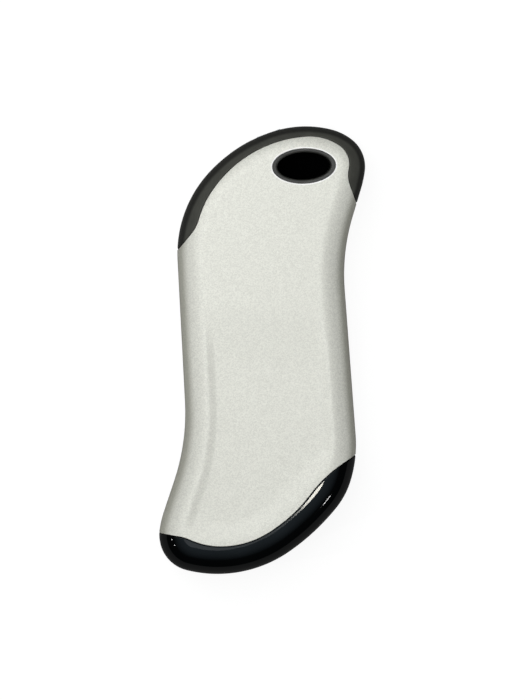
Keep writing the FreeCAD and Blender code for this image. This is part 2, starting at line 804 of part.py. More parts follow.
def main_board():
    """The board fills the head beside and below the eyelet."""
    sheet = column(CAVITY_INSET + BOARD_GAP, BOARD_LOW, BOARD_TOP)
    head = grip_box(0, BOARD_EDGE + FAR / 2, BOARD_LOW, FAR, FAR, BOARD_THICKNESS)
    far_corner = EYELET_CENTRE + flat(FAR, FAR, BOARD_TOP)
    right = block(EYELET_CENTRE + flat(BOARD_RIGHT, -FAR, BOARD_LOW), far_corner)
    notch = block(EYELET_CENTRE + flat(-BOARD_NOTCH, 0, BOARD_LOW), far_corner)
    low, high = BOARD_LOW - OVERRUN, BOARD_TOP + OVERRUN
    tube = eyelet_tube(BOARD_GAP, low, high)
    holes = [rod(BOARD_SCREW_RADIUS + PART_GAP, spot + UP * low, high - low)
             for spot in BOARD_SCREW_SPOTS]
    return sheet.common(head).cut([right, notch, tube] + holes)


def board_screws():
    screws = []
    for spot in BOARD_SCREW_SPOTS:
        seat = spot + UP * (BOARD_TOP + CONTACT_GAP)
        head = rod(BOARD_SCREW_HEAD_RADIUS, seat, BOARD_SCREW_HEAD_HEIGHT)
        shank = rod(BOARD_SCREW_RADIUS, seat - UP * BOARD_SCREW_LENGTH, BOARD_SCREW_LENGTH)
        screws.append(head.fuse(shank))
    return Part.makeCompound(screws)


def control_chips():
    """The charger on top of the board and the converter under it."""
    side = BOARD_EDGE + CHIP_SETBACK
    charger = grip_box(CHARGER_X, side + CHARGER_SIZE / 2, BOARD_TOP, CHARGER_SIZE, CHARGER_SIZE,
                       CHIP_HEIGHT)
    converter = grip_box(CONVERTER_X, side + CONVERTER_SIZE / 2, BOARD_LOW - CHIP_HEIGHT,
                         CONVERTER_SIZE, CONVERTER_SIZE, CHIP_HEIGHT)
    return Part.makeCompound([charger, converter])


def inductor():
    """It stands beside the lower board screw, on the cells' side of it."""
    screw = in_grip_axes(LOWER_BOARD_SCREW)
    y = screw.y - BOARD_SCREW_HEAD_RADIUS - 2 * PART_GAP - INDUCTOR_SIZE / 2
    base = grip_box(screw.x, y, BOARD_TOP, INDUCTOR_SIZE, INDUCTOR_SIZE, INDUCTOR_HEIGHT)
    corners = [edge for edge in base.Edges if edge.BoundBox.ZLength > INDUCTOR_HEIGHT / 2]
    return base.makeChamfer(INDUCTOR_CHAMFER, corners)


def capacitors():
    """A row under the board along its left rim."""
    inset = CAVITY_INSET + BOARD_GAP + CAPACITOR_MARGIN
    row = [rim_box(CAPACITOR_HEADING, x, inset, BOARD_LOW - CAPACITOR_HEIGHT, CAPACITOR_WIDTH,
                   CAPACITOR_LENGTH, CAPACITOR_HEIGHT)
           for x in row_offsets(CAPACITOR_COUNT, CAPACITOR_PITCH)]
    return Part.makeCompound(row)


def socket(heading, width, height, depth, wall, low):
    """A folded metal receptacle, open at its mouth and closed at its back."""
    outside = rim_box(heading, 0, PORT_RECESS, low, width, depth, height)
    inside = rim_box(heading, 0, PORT_RECESS - OVERRUN, low + wall, width - 2 * wall,
                     depth - wall + OVERRUN, height - 2 * wall)
    return outside.cut(inside)


def usb_a_shell():
    return socket(USB_HEADING, USB_WIDTH, USB_HEIGHT, USB_DEPTH, USB_WALL, MIDDLE - USB_HEIGHT / 2)


USB_BLOCK_INSET = PORT_RECESS + USB_DEPTH - USB_WALL - CONTACT_GAP - USB_BLOCK_DEPTH
USB_TONGUE_LOW = MIDDLE + USB_HEIGHT / 2 - USB_TONGUE_DROP - USB_TONGUE_HEIGHT


def usb_a_tongue():
    """The insulator: a block at the back and a tongue near the top of the opening."""
    inner_height = USB_HEIGHT - 2 * (USB_WALL + CONTACT_GAP)
    low = MIDDLE - inner_height / 2
    back = rim_box(USB_HEADING, 0, USB_BLOCK_INSET, low,
                   USB_WIDTH - 2 * (USB_WALL + CONTACT_GAP), USB_BLOCK_DEPTH, inner_height)
    tongue = rim_box(USB_HEADING, 0, USB_BLOCK_INSET - USB_TONGUE_DEPTH, USB_TONGUE_LOW,
                     USB_TONGUE_WIDTH, USB_TONGUE_DEPTH, USB_TONGUE_HEIGHT)
    return fused([back, tongue])


def usb_a_contacts():
    """Strips on the underside of the tongue."""
    inset = USB_BLOCK_INSET - USB_TONGUE_DEPTH + USB_CONTACT_SETBACK
    strips = [rim_box(USB_HEADING, x, inset, USB_TONGUE_LOW - USB_CONTACT_THICKNESS,
                      USB_CONTACT_WIDTH, USB_CONTACT_LENGTH, USB_CONTACT_THICKNESS)
              for x in row_offsets(USB_CONTACT_COUNT, USB_CONTACT_PITCH)]
    return Part.makeCompound(strips)


def charge_port_shell():
    return socket(CHARGE_HEADING, CHARGE_WIDTH, CHARGE_HEIGHT, CHARGE_DEPTH, CHARGE_WALL,
                  BOARD_TOP + CONTACT_GAP)


def charge_port_tongue():
    low = BOARD_TOP + CONTACT_GAP + CHARGE_WALL + CONTACT_GAP
    inner_height = CHARGE_HEIGHT - 2 * (CHARGE_WALL + CONTACT_GAP)
    back_inset = PORT_RECESS + CHARGE_DEPTH - CHARGE_WALL - CONTACT_GAP - CHARGE_BLOCK_DEPTH
    back = rim_box(CHARGE_HEADING, 0, back_inset, low, CHARGE_WIDTH - 2 * (CHARGE_WALL + CONTACT_GAP),
                   CHARGE_BLOCK_DEPTH, inner_height)
    tongue = rim_box(CHARGE_HEADING, 0, back_inset - CHARGE_TONGUE_DEPTH,
                     low + (inner_height - CHARGE_TONGUE_HEIGHT) / 2, CHARGE_TONGUE_WIDTH,
                     CHARGE_TONGUE_DEPTH, CHARGE_TONGUE_HEIGHT)
    return fused([back, tongue])


# Button, switch and lamps

def power_button():
    """An oval key that follows the cap's wall, held behind it by a flange, with a stem
    for the switch."""
    rough_key = rim_oval(BUTTON_HEADING, BUTTON_LENGTH, BUTTON_HEIGHT, -OVERRUN,
                         OVERRUN + BUTTON_FLANGE_INSET)
    key = rough_key.common(column(-BUTTON_PROUD, 0, TOP))
    flange = rim_oval(BUTTON_HEADING, BUTTON_LENGTH + 2 * BUTTON_FLANGE,
                      BUTTON_HEIGHT + 2 * BUTTON_FLANGE, BUTTON_FLANGE_INSET, BUTTON_FLANGE_THICKNESS)
    stem_start = flat(0, -BUTTON_FLANGE_INSET - BUTTON_FLANGE_THICKNESS, MIDDLE)
    stem = rod(BUTTON_STEM_RADIUS, stem_start, BUTTON_STEM_LENGTH, flat(0, -1))
    return fused([key, flange, at_rim(stem, BUTTON_HEADING)])


def switch_plunger():
    return rim_box(BUTTON_HEADING, 0, PLUNGER_INSET, MIDDLE - PLUNGER_HEIGHT / 2, PLUNGER_WIDTH,
                   PLUNGER_LENGTH, PLUNGER_HEIGHT)


def switch_body():
    body = rim_box(BUTTON_HEADING, 0, SWITCH_INSET, BOARD_TOP, SWITCH_WIDTH, SWITCH_DEPTH,
                   SWITCH_HEIGHT)
    depth = PLUNGER_INSET + PLUNGER_LENGTH + BUTTON_TRAVEL + PART_GAP - SWITCH_INSET
    pocket = rim_box(BUTTON_HEADING, 0, SWITCH_INSET, MIDDLE - PLUNGER_HEIGHT / 2 - SLIP_GAP,
                     PLUNGER_WIDTH + 2 * SLIP_GAP, depth, PLUNGER_HEIGHT + 2 * SLIP_GAP)
    return body.cut(pocket)


def indicator_lens():
    """One clear light pipe: a bar behind the wall and a round lens for each lamp."""
    length = (LAMP_COUNT - 1) * LAMP_PITCH + 2 * LIGHT_BAR_MARGIN
    low = BOARD_TOP + CONTACT_GAP
    bar = rim_box(LAMP_HEADING, 0, LIGHT_BAR_INSET, low, length, LIGHT_BAR_DEPTH,
                  MIDDLE + LAMP_RADIUS + PART_GAP - low)
    return fused([bar] + lamp_rods(LAMP_RADIUS, 0, LIGHT_BAR_INSET))


def indicator_leds():
    inset = LIGHT_BAR_INSET + LIGHT_BAR_DEPTH + SLIP_GAP
    lamps = [rim_box(LAMP_HEADING, x, inset, BOARD_TOP, LED_LENGTH, LED_DEPTH, LED_HEIGHT)
             for x in row_offsets(LAMP_COUNT, LAMP_PITCH)]
    return Part.makeCompound(lamps)


# Leads

def heater_lead_offsets():
    return [HEATER_LEAD_X, HEATER_LEAD_X + HEATER_LEAD_PITCH]


def lead_row():
    """How far up the grip the leads reach the board."""
    return CELL_TOP + LEAD_SETBACK


def heater_leads():
    """Two leads up to the front film and two down to the rear film."""
    leads = []
    for x in heater_lead_offsets():
        front = FRONT_FILM_TOP - FILM_THICKNESS - BOARD_TOP
        rear = BOARD_LOW - REAR_FILM_LOW - FILM_THICKNESS
        leads.append(in_grip(rod(LEAD_RADIUS, flat(x, lead_row(), BOARD_TOP), front)))
        leads.append(in_grip(rod(LEAD_RADIUS, flat(x, lead_row(), BOARD_LOW - rear), rear)))
    return Part.makeCompound(leads)


def bent_lead(corners):
    """A round lead along straight runs with an arc at each corner."""
    edges = []
    start = corners[0]
    for before, corner, after in zip(corners, corners[1:], corners[2:]):
        back = (before - corner).normalize()
        ahead = (after - corner).normalize()
        half = back.getAngle(ahead) / 2
        entry = corner + back * (LEAD_BEND / math.tan(half))
        leave = corner + ahead * (LEAD_BEND / math.tan(half))
        centre = corner + (back + ahead).normalize() * (LEAD_BEND / math.sin(half))
        middle = centre + (corner - centre).normalize() * LEAD_BEND
        edges.append(Part.LineSegment(start, entry).toShape())
        edges.append(Part.Arc(entry, middle, leave).toShape())
        start = leave
    edges.append(Part.LineSegment(start, corners[-1]).toShape())
    route = Part.Wire(edges)
    section = Part.Wire(Part.Circle(corners[0], corners[1] - corners[0], LEAD_RADIUS).toShape())
    return in_grip(route.makePipeShell([section], True, False))


def battery_lead_positive():
    """From the top tab over to the board."""
    start = TOP_TAB_Y + TAB_THICKNESS / 2
    row = lead_row()
    return bent_lead([flat(POSITIVE_LEAD_X, start, MIDDLE), flat(POSITIVE_LEAD_X, row, MIDDLE),
                      flat(POSITIVE_LEAD_X, row, BOARD_TOP)])


def battery_lead_negative():
    """From the bottom tab, up the valley between the cells, to the board."""
    start = BOTTOM_TAB_Y - TAB_THICKNESS / 2
    turn = start - LEAD_BEND - LEAD_RADIUS
    high = MIDDLE + LEAD_HEIGHT
    row = lead_row()
    return bent_lead([flat(0, start, MIDDLE), flat(0, turn, MIDDLE), flat(0, turn, high),
                      flat(0, row, high), flat(0, row, BOARD_TOP)])


# Chassis

BOSS_SPOTS = [NECK.start - outward(NECK.heading) * BOSS_INSET,
              TOE.centre,
              SOLE_FLAT.start - outward(SOLE_FLAT.heading) * BOSS_INSET]
SCREW_SEAT = CHASSIS_INSET + SCREW_SINK + SCREW_HEAD_HEIGHT


def cradles(low, high):
    """Ribs across the grip, hollowed for the cells."""
    ribs = []
    middle = (CELL_TOP + CELL_BOTTOM) / 2
    width = 2 * (CELL_OFFSET + CELL_RADIUS)
    for index in range(RIB_COUNT):
        y = middle + (index - (RIB_COUNT - 1) / 2) * RIB_SPACING
        ribs.append(grip_box(0, y, low, width, RIB_THICKNESS, high - low))
    beds = [in_grip(rod(CELL_RADIUS + PART_GAP, flat(side * CELL_OFFSET, CELL_BOTTOM, MIDDLE),
                        CELL_LENGTH, flat(0, 1))) for side in (-1, 1)]
    slot_width = 2 * (LEAD_RADIUS + PART_GAP)
    slot = grip_box(0, middle, MIDDLE, slot_width, CELL_LENGTH, LEAD_HEIGHT + slot_width / 2)
    return [rib.cut(beds + [slot]) for rib in ribs]


def wall_openings():
    """The sockets, the button and the lamps pass through the chassis wall."""
    depth = CAVITY_INSET + OVERRUN
    travel = BUTTON_FLANGE + PART_GAP
    return [usb_opening(PORT_CLEARANCE, 0, depth),
            charge_opening(PORT_CLEARANCE, 0, depth),
            rim_oval(BUTTON_HEADING, BUTTON_LENGTH + 2 * travel, BUTTON_HEIGHT + 2 * travel, 0, depth),
            ] + lamp_rods(LAMP_RADIUS + PART_GAP, 0, depth)


def chassis_half(low, high, plate_face, pocket, posts, cutters):
    """A tray: rolled wall, flat plate, cell cradles and bosses, between two heights."""
    slab = block(flat(-FAR, -FAR, low), flat(FAR, FAR, high))
    room = envelope(CAVITY_INSET)
    tray = envelope(CHASSIS_INSET).common(slab).cut([room, pocket])
    plate = column(CAVITY_INSET - CONTACT_GAP, min(plate_face), max(plate_face))
    tunnel = eyelet_tube(PART_GAP, -OVERRUN, TOP + OVERRUN)
    collar = eyelet_tube(COLLAR_WIDTH + PART_GAP, -OVERRUN, TOP + OVERRUN)
    collar_room = collar.cut(block(flat(-FAR, -FAR, min(plate_face)), flat(FAR, FAR, max(plate_face))))
    solid = tray.fuse([plate.common(envelope(CHASSIS_INSET))] + posts).removeSplitter()
    edge_room = collar_room.common(slab).cut(room)
    return solid.cut([tunnel, edge_room] + cutters)


def chassis_front():
    top = FRONT_PLATE_TOP
    plate = (top - PLATE_WALL, top)
    split = MIDDLE + HALF_GAP / 2
    pocket = heated_area(top, TOP, PART_GAP)
    cradle = cradles(plate[0] - RIB_HEIGHT, top)
    bosses = [rod(BOSS_RADIUS, spot + UP * split, top - split) for spot in BOSS_SPOTS]
    pilot_depth = SCREW_SEAT + SCREW_LENGTH + PART_GAP - split
    pilots = [rod(SCREW_RADIUS + CONTACT_GAP, spot + UP * split, pilot_depth)
              for spot in BOSS_SPOTS]
    cutters = pilots + wall_openings() + lead_holes(MIDDLE, TOP)
    return chassis_half(split, TOP, plate, pocket, cradle + bosses, cutters)


def chassis_rear():
    low = REAR_PLATE_LOW
    plate = (low, low + PLATE_WALL)
    split = MIDDLE - HALF_GAP / 2
    pocket = heated_area(0, low, PART_GAP)
    cradle = cradles(low, plate[1] + RIB_HEIGHT)
    bosses = [rod(BOSS_RADIUS, spot + UP * low, split - low) for spot in BOSS_SPOTS]
    posts = [rod(POST_RADIUS, spot + UP * low, BOARD_LOW - CONTACT_GAP - low)
             for spot in BOARD_SCREW_SPOTS]
    shanks = [rod(SCREW_RADIUS + PART_GAP, spot, split) for spot in BOSS_SPOTS]
    heads = [rod(SCREW_HEAD_RADIUS + PART_GAP, spot, SCREW_SEAT) for spot in BOSS_SPOTS]
    tips = [rod(BOARD_SCREW_RADIUS + CONTACT_GAP, spot + UP * (BOARD_TOP - BOARD_SCREW_LENGTH),
                BOARD_SCREW_LENGTH) for spot in BOARD_SCREW_SPOTS]
    cutters = shanks + heads + tips + wall_openings() + lead_holes(0, MIDDLE)
    return chassis_half(0, split, plate, pocket, cradle + bosses + posts, cutters)


def chassis_screws():
    """Screws from the rear, their heads sunk in the rear tray."""
    screws = []
    for spot in BOSS_SPOTS:
        seat = spot + UP * (SCREW_SEAT - CONTACT_GAP)
        head = rod(SCREW_HEAD_RADIUS, seat - UP * SCREW_HEAD_HEIGHT, SCREW_HEAD_HEIGHT)
        shank = rod(SCREW_RADIUS, seat, SCREW_LENGTH)
        screws.append(head.fuse(shank))
    return Part.makeCompound(screws)


NODES = {
    "front_shell": front_shell,
    "rear_shell": rear_shell,
    "head_cap": head_cap,
    "base_cap": base_cap,
    "eyelet_front": eyelet_front,
    "eyelet_rear": eyelet_rear,
    "power_button": power_button,
    "switch_plunger": switch_plunger,
    "switch_body": switch_body,
    "indicator_lens": indicator_lens,
    "indicator_leds": indicator_leds,
    "usb_a_shell": usb_a_shell,
    "usb_a_tongue": usb_a_tongue,
    "usb_a_contacts": usb_a_contacts,
    "charge_port_shell": charge_port_shell,
    "charge_port_tongue": charge_port_tongue,
    "main_board": main_board,
    "control_chips": control_chips,
    "inductor": inductor,
    "capacitors": capacitors,
    "board_screws": board_screws,
    "cell_left": lambda: cell(-1),
    "cell_right": lambda: cell(1),
    "cell_insulators": cell_insulators,
    "cell_tab_top": lambda: cell_tab(TOP_TAB_Y),
    "cell_tab_bottom": lambda: cell_tab(BOTTOM_TAB_Y),
    "battery_lead_positive": battery_lead_positive,
    "battery_lead_negative": battery_lead_negative,
    "heater_leads": heater_leads,
    "front_heater": front_heater,
    "rear_heater": rear_heater,
    "front_insulation": front_insulation,
    "rear_insulation": rear_insulation,
    "thermistor": thermistor,
    "chassis_front": chassis_front,
    "chassis_rear": chassis_rear,
    "chassis_screws": chassis_screws,
}

os.makedirs("parts", exist_ok=True)
for name, make in NODES.items():
    shape = make()
    if not shape.isValid() or not shape.Solids:
        raise ValueError(name + " is not a sound solid")
    shape.exportStep("parts/" + name + ".step")
    print(name, len(shape.Solids), "solids", round(shape.Volume, 1), "mm3")
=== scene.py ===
import math

import bpy
import numpy as np
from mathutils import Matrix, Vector
from mathutils.geometry import delaunay_2d_cdt


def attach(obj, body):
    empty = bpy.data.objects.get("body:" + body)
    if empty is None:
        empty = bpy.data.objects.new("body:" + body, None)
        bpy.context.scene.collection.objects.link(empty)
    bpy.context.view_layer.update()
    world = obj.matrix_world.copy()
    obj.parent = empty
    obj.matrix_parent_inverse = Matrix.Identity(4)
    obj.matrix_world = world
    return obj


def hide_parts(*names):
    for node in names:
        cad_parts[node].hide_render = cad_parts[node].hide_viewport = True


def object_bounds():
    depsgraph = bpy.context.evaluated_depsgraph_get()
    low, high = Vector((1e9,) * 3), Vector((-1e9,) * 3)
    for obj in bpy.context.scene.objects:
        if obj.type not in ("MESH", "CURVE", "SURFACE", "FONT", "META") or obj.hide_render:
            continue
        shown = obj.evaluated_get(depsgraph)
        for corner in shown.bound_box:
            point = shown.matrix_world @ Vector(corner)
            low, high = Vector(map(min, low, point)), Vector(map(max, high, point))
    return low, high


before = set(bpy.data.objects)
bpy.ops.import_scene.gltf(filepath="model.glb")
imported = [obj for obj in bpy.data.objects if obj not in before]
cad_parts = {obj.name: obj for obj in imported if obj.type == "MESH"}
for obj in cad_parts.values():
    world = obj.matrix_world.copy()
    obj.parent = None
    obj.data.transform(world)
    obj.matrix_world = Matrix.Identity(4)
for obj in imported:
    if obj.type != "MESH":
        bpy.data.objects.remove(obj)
CAD_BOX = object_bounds()

# The casing's skins are worked out in millimetres, and meshes are made in metres.
MM = 0.001
TINY = 1e-9
BOX_LOW, BOX_HIGH = (np.array(corner) / MM for corner in CAD_BOX)

# Body section: a flat front and rear, joined by rolled edges and an upright wall
THICKNESS = BOX_HIGH[2] - BOX_LOW[2]
MIDDLE = THICKNESS / 2
EDGE_ROLL = 7.0
ROLL_TOP = THICKNESS - EDGE_ROLL
SHELL_WALL = 0.8
CAP_WALL = 1.9
SEAM_GAP = 0.14
SHELL_GAP = 0.16
SHELL_SPLIT = SHELL_GAP / 2

# Tangent outline of the body, anticlockwise: (radius, turn), where a negative turn is a hollow,
# or (None, length) for a straight. SOLVED stands for a size that closes the loop.
SOLVED = None
START_HEADING = 94.3
OUTLINE_STEPS = [
    (55.6, -21.0), (None, 8.3), (30.4, 9.1), (9.6, 59.7), (15.4, 24.0), (29.4, 32.1),
    (41.7, 28.8), (33.5, 46.0), (None, 39.5), (60.0, -21.5), (None, 8.9), (30.2, 9.9),
    (9.9, 84.2), (35.1, 49.2), (SOLVED, SOLVED), (22.3, 22.0), (34.8, 21.2), (None, SOLVED),
]

# Which of those steps are the nose's arc, and the arcs that the head cap's wall follows
NOSE_SPAN = 3
HEAD_SPANS = slice(2, 8)

# Seams of the end caps, in the same steps to both sides of an anchor: each band is the cap's
# height at the end of the body, and each seam runs out straight past the outline.
RUNOUT = 12.0
CROSSING_STEP = 0.02
HEAD_BAND = 2.75
HEAD_SEAM_HEADING = 184.0
HEAD_SEAM_BEFORE = [(7.8, -33.3), (6.4, 68.2), (14.7, 38.2)]
HEAD_SEAM_AFTER = [(34.4, 53.9), (27.2, 16.1), (12.0, -23.7)]
BASE_BAND = 7.8
BASE_SEAM_HEADING = -2.1
BASE_SEAM_BEFORE = [(13.5, -14.8), (20.1, 22.0)]
BASE_SEAM_AFTER = [(24.7, 32.7), (42.4, 22.7), (35.1, -20.1)]

# Eyelet, from the nose arc's centre
EYELET_OFFSET = np.array([-7.5, 0.2])
EYELET_TILT = 2.4
HOLE_LENGTH = 17.7
HOLE_HEIGHT = 9.8

# Openings in the head cap's wall, each at a heading of the outline
OPENING_CORNER = 0.5
USB_HEADING, USB_SIZE = 228.8, (13.9, 6.3)
CHARGE_HEADING, CHARGE_SIZE, CHARGE_DROP = 253.0, (8.2, 3.1), 1.6
BUTTON_HEADING, BUTTON_SIZE = 211.6, (7.16, 3.76)
LAMP_HEADING, LAMP_PITCH, LAMP_HOLE, LAMP_COUNT = 199.8, 1.8, 1.52, 4

# Palm dish in the front face: a step between two insets from the outline, then a bowl. It deepens
# downwards from DISH_TOP, and fades out beside the base cap's seam.
DISH_STEP = 0.46
DISH_BOWL = 0.18
DISH_RIM = 5.7
DISH_FLOOR = 9.1
DISH_MIDDLE = 20.0
DISH_TOP = 14.0
DISH_TOP_RUN = 20.0
DISH_SEAM_MARGIN = 1.0
DISH_SEAM_RUN = 6.0

# Rounding of the visible edges, and the rows of points across a rounding as shares of its radius
SHELL_EDGE = 0.16
CAP_EDGE = 0.3
HOLE_EDGE = 0.15
OPENING_EDGE = 0.25
EDGE_SHARES = (0.0, 0.12, 0.3, 0.55, 0.8, 1.0, 1.6)

# Spacing of the meshes: along the outline and the seams, round the roll, and on the flats
STATION = 0.8
SEAM_STATION = 0.6
ROLL_STEPS = 15
INNER_ROW = 0.5
INNER_ROWS = 4
WALL_ROW = 1.2
GRID = 1.3
GRID_REACH = np.ceil(BOX_HIGH[:2]) + 1
SLOPE_STEP = 0.05
OVAL_POINTS, LAMP_POINTS, EYELET_POINTS, CORNER_POINTS = 36, 18, 72, 5

# Room between the rows beside an edge and the free points, and the least inset of a free point
# as a share of the first ring's
SEAM_ROOM = 0.12
HOLE_ROOM = 0.2
OPENING_ROOM = 0.15
OUTER_SHARE = 0.8

# How close points count as one: at the outline, in the triangulation, and where patches meet
ON_OUTLINE = 0.012
MERGE_DISTANCE = 1e-5
MERGE_DECIMALS = 2
ROW_DECIMALS = 4


# Tangent paths in the plane

def along(heading):
    """The unit vector that a heading in degrees points to."""
    angle = np.radians(heading)
    return np.stack([np.cos(angle), np.sin(angle)], -1)


def outward(heading):
    """The unit vector to the right of a heading."""
    angle = np.radians(heading)
    return np.stack([np.sin(angle), -np.cos(angle)], -1)


def follow(start, heading, steps):
    """Spans (start, end, heading, turned, centre, radius, length) along a tangent path."""
    spans = []
    point = np.array(start, float)
    for radius, amount in steps:
        if radius is None:
            end = point + along(heading) * amount
            spans.append((point, end, heading, heading, None, None, amount))
        else:
            signed = math.copysign(radius, amount)
            centre = point - outward(heading) * signed
            turned = heading + amount
            end = centre + outward(turned) * signed
            length = abs(signed * math.radians(amount))
            spans.append((point, end, heading, turned, centre, signed, length))
            heading = turned
        point = end
    return spans


def closed_outline():
    """The outline with its open sizes solved, centred on the origin."""
    turns = sum(amount for radius, amount in OUTLINE_STEPS if radius and amount)
    open_arc = OUTLINE_STEPS.index((SOLVED, SOLVED))

    def steps(radius, length):
        made = list(OUTLINE_STEPS)
        made[open_arc] = (radius, 360 - turns)
        made[-1] = (None, length)
        return made

    def miss(radius, length):
        return follow((0, 0), START_HEADING, steps(radius, length))[-1][1]

    base = miss(0, 0)
    matrix = np.stack([miss(1, 0) - base, miss(0, 1) - base], 1)
    radius, length = np.linalg.solve(matrix, -base)
    loop = follow((0, 0), START_HEADING, steps(radius, length))
    middle = np.array([(reach(loop, 90)[0] + reach(loop, 270)[0]) / 2,
                       (reach(loop, 180)[1] + reach(loop, 0)[1]) / 2])
    return follow(-middle, START_HEADING, steps(radius, length))


def reach(spans, heading):
    """The loop's furthest point towards a heading's outward normal."""
    spots = []
    for start, end, first, last, centre, radius, length in spans:
        spots.append(start)
        for whole in (0, 360):
            if radius is not None and first <= heading + whole <= last:
                spots.append(centre + outward(heading) * radius)
    return max(spots, key=lambda spot: spot @ outward(heading))


OUTLINE = closed_outline()
STARTS = np.concatenate([[0.0], np.cumsum([span[6] for span in OUTLINE])])
NOSE_CENTRE = OUTLINE[NOSE_SPAN][4]
EYELET_CENTRE = NOSE_CENTRE + EYELET_OFFSET


def seam(anchor, heading, before, after):
    """A seam's path through an anchor, with steps to both sides of it."""
    back = follow(anchor, heading + 180, [(radius, -turn) for radius, turn in reversed(before)])[-1]
    first = back[1] + along(back[3]) * RUNOUT
    return follow(first, back[3] - 180, [(None, RUNOUT)] + before + after + [(None, RUNOUT)])


HEAD_SEAM = seam(reach(OUTLINE, 180) - outward(180) * HEAD_BAND, HEAD_SEAM_HEADING,
                 HEAD_SEAM_BEFORE, HEAD_SEAM_AFTER)
BASE_SEAM = seam(reach(OUTLINE, 0) - outward(0) * BASE_BAND, BASE_SEAM_HEADING,
                 BASE_SEAM_BEFORE, BASE_SEAM_AFTER)


def nearest(spans, points):
    """For each point: its inset to the left of the path, and the path's heading and station there."""
    count = len(points)
    best = np.full(count, np.inf)
    inset, heading, station = np.zeros(count), np.zeros(count), np.zeros(count)
    begin = 0.0
    for start, end, first, last, centre, radius, length in spans:
        if radius is None:
            run = np.clip((points - start) @ along(first), 0, length)
            turned = np.full(count, float(first))
            spot = start + run[:, None] * along(first)
        else:
            arm = (points - centre) * np.sign(radius)
            turned = np.degrees(np.arctan2(arm[:, 0], -arm[:, 1]))
            halfway = (first + last) / 2
            turned = halfway + (turned - halfway + 180) % 360 - 180
            turned = np.clip(turned, min(first, last), max(first, last))
            spot = centre + outward(turned) * radius
            run = np.radians(np.abs(turned - first)) * abs(radius)
        gap = np.linalg.norm(points - spot, axis=1)
        side = np.einsum("ij,ij->i", spot - points, outward(turned))
        closer = gap < best - TINY
        best = np.where(closer, gap, best)
        inset = np.where(closer, side, inset)
        heading = np.where(closer, turned, heading)
        station = np.where(closer, begin + run, station)
        begin += length
    return inset, heading, station


def on_path(spans, stations, inset=0.0):
    """Points at stations along a path, moved to its left by inset, and the headings there."""
    stations = np.asarray(stations, float)
    begins = np.concatenate([[0.0], np.cumsum([span[6] for span in spans])])
    which = np.clip(np.searchsorted(begins, stations, side="right") - 1, 0, len(spans) - 1)
    points, headings = np.zeros((len(stations), 2)), np.zeros(len(stations))
    for index in np.unique(which):
        start, end, first, last, centre, radius, length = spans[index]
        chosen = which == index
        run = stations[chosen] - begins[index]
        if radius is None:
            headings[chosen] = first
            points[chosen] = start + run[:, None] * along(first)
        else:
            headings[chosen] = first + np.degrees(run / radius)
            points[chosen] = centre + outward(headings[chosen]) * radius
    return points - outward(headings) * np.reshape(inset, (-1, 1)), headings


def path_length(spans):
    return sum(span[6] for span in spans)


def crossings(line, shift):
    """Where a seam moved left by shift crosses the outline, as (seam station, outline station)."""
    stations = np.arange(0, path_length(line), CROSSING_STEP)
    points, _ = on_path(line, stations, shift)
    inset, _, outline_station = nearest(OUTLINE, points)
    changes = np.nonzero((inset[:-1] < 0) != (inset[1:] < 0))[0]
    found = []
    for index in (changes[0], changes[-1]):
        share = inset[index] / (inset[index] - inset[index + 1])
        found.append(tuple(values[index] + share * (values[index + 1] - values[index])
                           for values in (stations, outline_station)))
    return found


# Patches of skin: a patch is (points, normals, base points, base normals, triangles)

def inside(points, loops):
    """Whether each point is inside an odd number of closed loops."""
    odd = np.zeros(len(points), bool)
    for loop in loops:
        for (ax, ay), (bx, by) in zip(loop, np.roll(loop, -1, axis=0)):
            crosses = (ay > points[:, 1]) != (by > points[:, 1])
            if ay != by:
                level = ax + (points[:, 1] - ay) * (bx - ax) / (by - ay)
                odd ^= crosses & (points[:, 0] < level)
    return odd


def triangulate(loops, extra):
    """Triangles inside closed loops, through extra inner points: (2D points, triangles)."""
    points, edges = [], []
    for loop in loops:
        first = len(points)
        points.extend(loop)
        edges.extend((first + k, first + (k + 1) % len(loop)) for k in range(len(loop)))
    points.extend(extra)
    made = delaunay_2d_cdt([Vector(point) for point in points], edges, [], 0, MERGE_DISTANCE)
    flat = np.array([vertex[:] for vertex in made[0]], float)
    triangles = np.array([face[:] for face in made[2] if len(face) == 3], int)
    keep = inside(flat[triangles].mean(1), loops)
    return flat, triangles[keep]


def rolled_edge(points, normals, depth, direction, radius):
    """Rounds a skin over its edge: depth is the distance to the edge and direction leads to it."""
    near = depth < radius
    cosine = np.clip((radius - depth[near]) / radius, 0, 1)[:, None]
    sine = np.sqrt(1 - cosine ** 2)
    normal = normals[near]
    lead = direction[near] - normal * np.einsum("ij,ij->i", normal, direction[near])[:, None]
    lead /= np.maximum(np.linalg.norm(lead, axis=1), TINY)[:, None]
    points[near] -= normal * radius * (1 - sine)
    normals[near] = normal * sine + lead * cosine


def smoothstep(value, low, high):
    share = np.clip((value - low) / (high - low), 0, 1)
    return share * share * (3 - 2 * share)


def dish(points):
    """Depth of the palm dish at plan points."""
    inset, _, _ = nearest(OUTLINE, points)
    seam_inset, _, _ = nearest(BASE_SEAM, points)
    depth = DISH_STEP * smoothstep(inset, DISH_RIM, DISH_FLOOR)
    share = np.clip((inset - DISH_RIM) / (DISH_MIDDLE - DISH_RIM), 0, 1)
    depth += DISH_BOWL * share * (2 - share) * smoothstep(inset, DISH_RIM, DISH_FLOOR)
    depth *= smoothstep(-points[:, 1], -DISH_TOP, DISH_TOP_RUN - DISH_TOP)
    return depth * smoothstep(seam_inset, DISH_SEAM_MARGIN, DISH_SEAM_MARGIN + DISH_SEAM_RUN)


def oval_loop(length, height):
    """An oval's points round its centre: two straights and two half circles."""
    radius, run = height / 2, (length - height) / 2
    angles = np.linspace(-90, 90, OVAL_POINTS // 2)
    right = along(angles) * radius + (run, 0)
    return np.concatenate([right, -right])


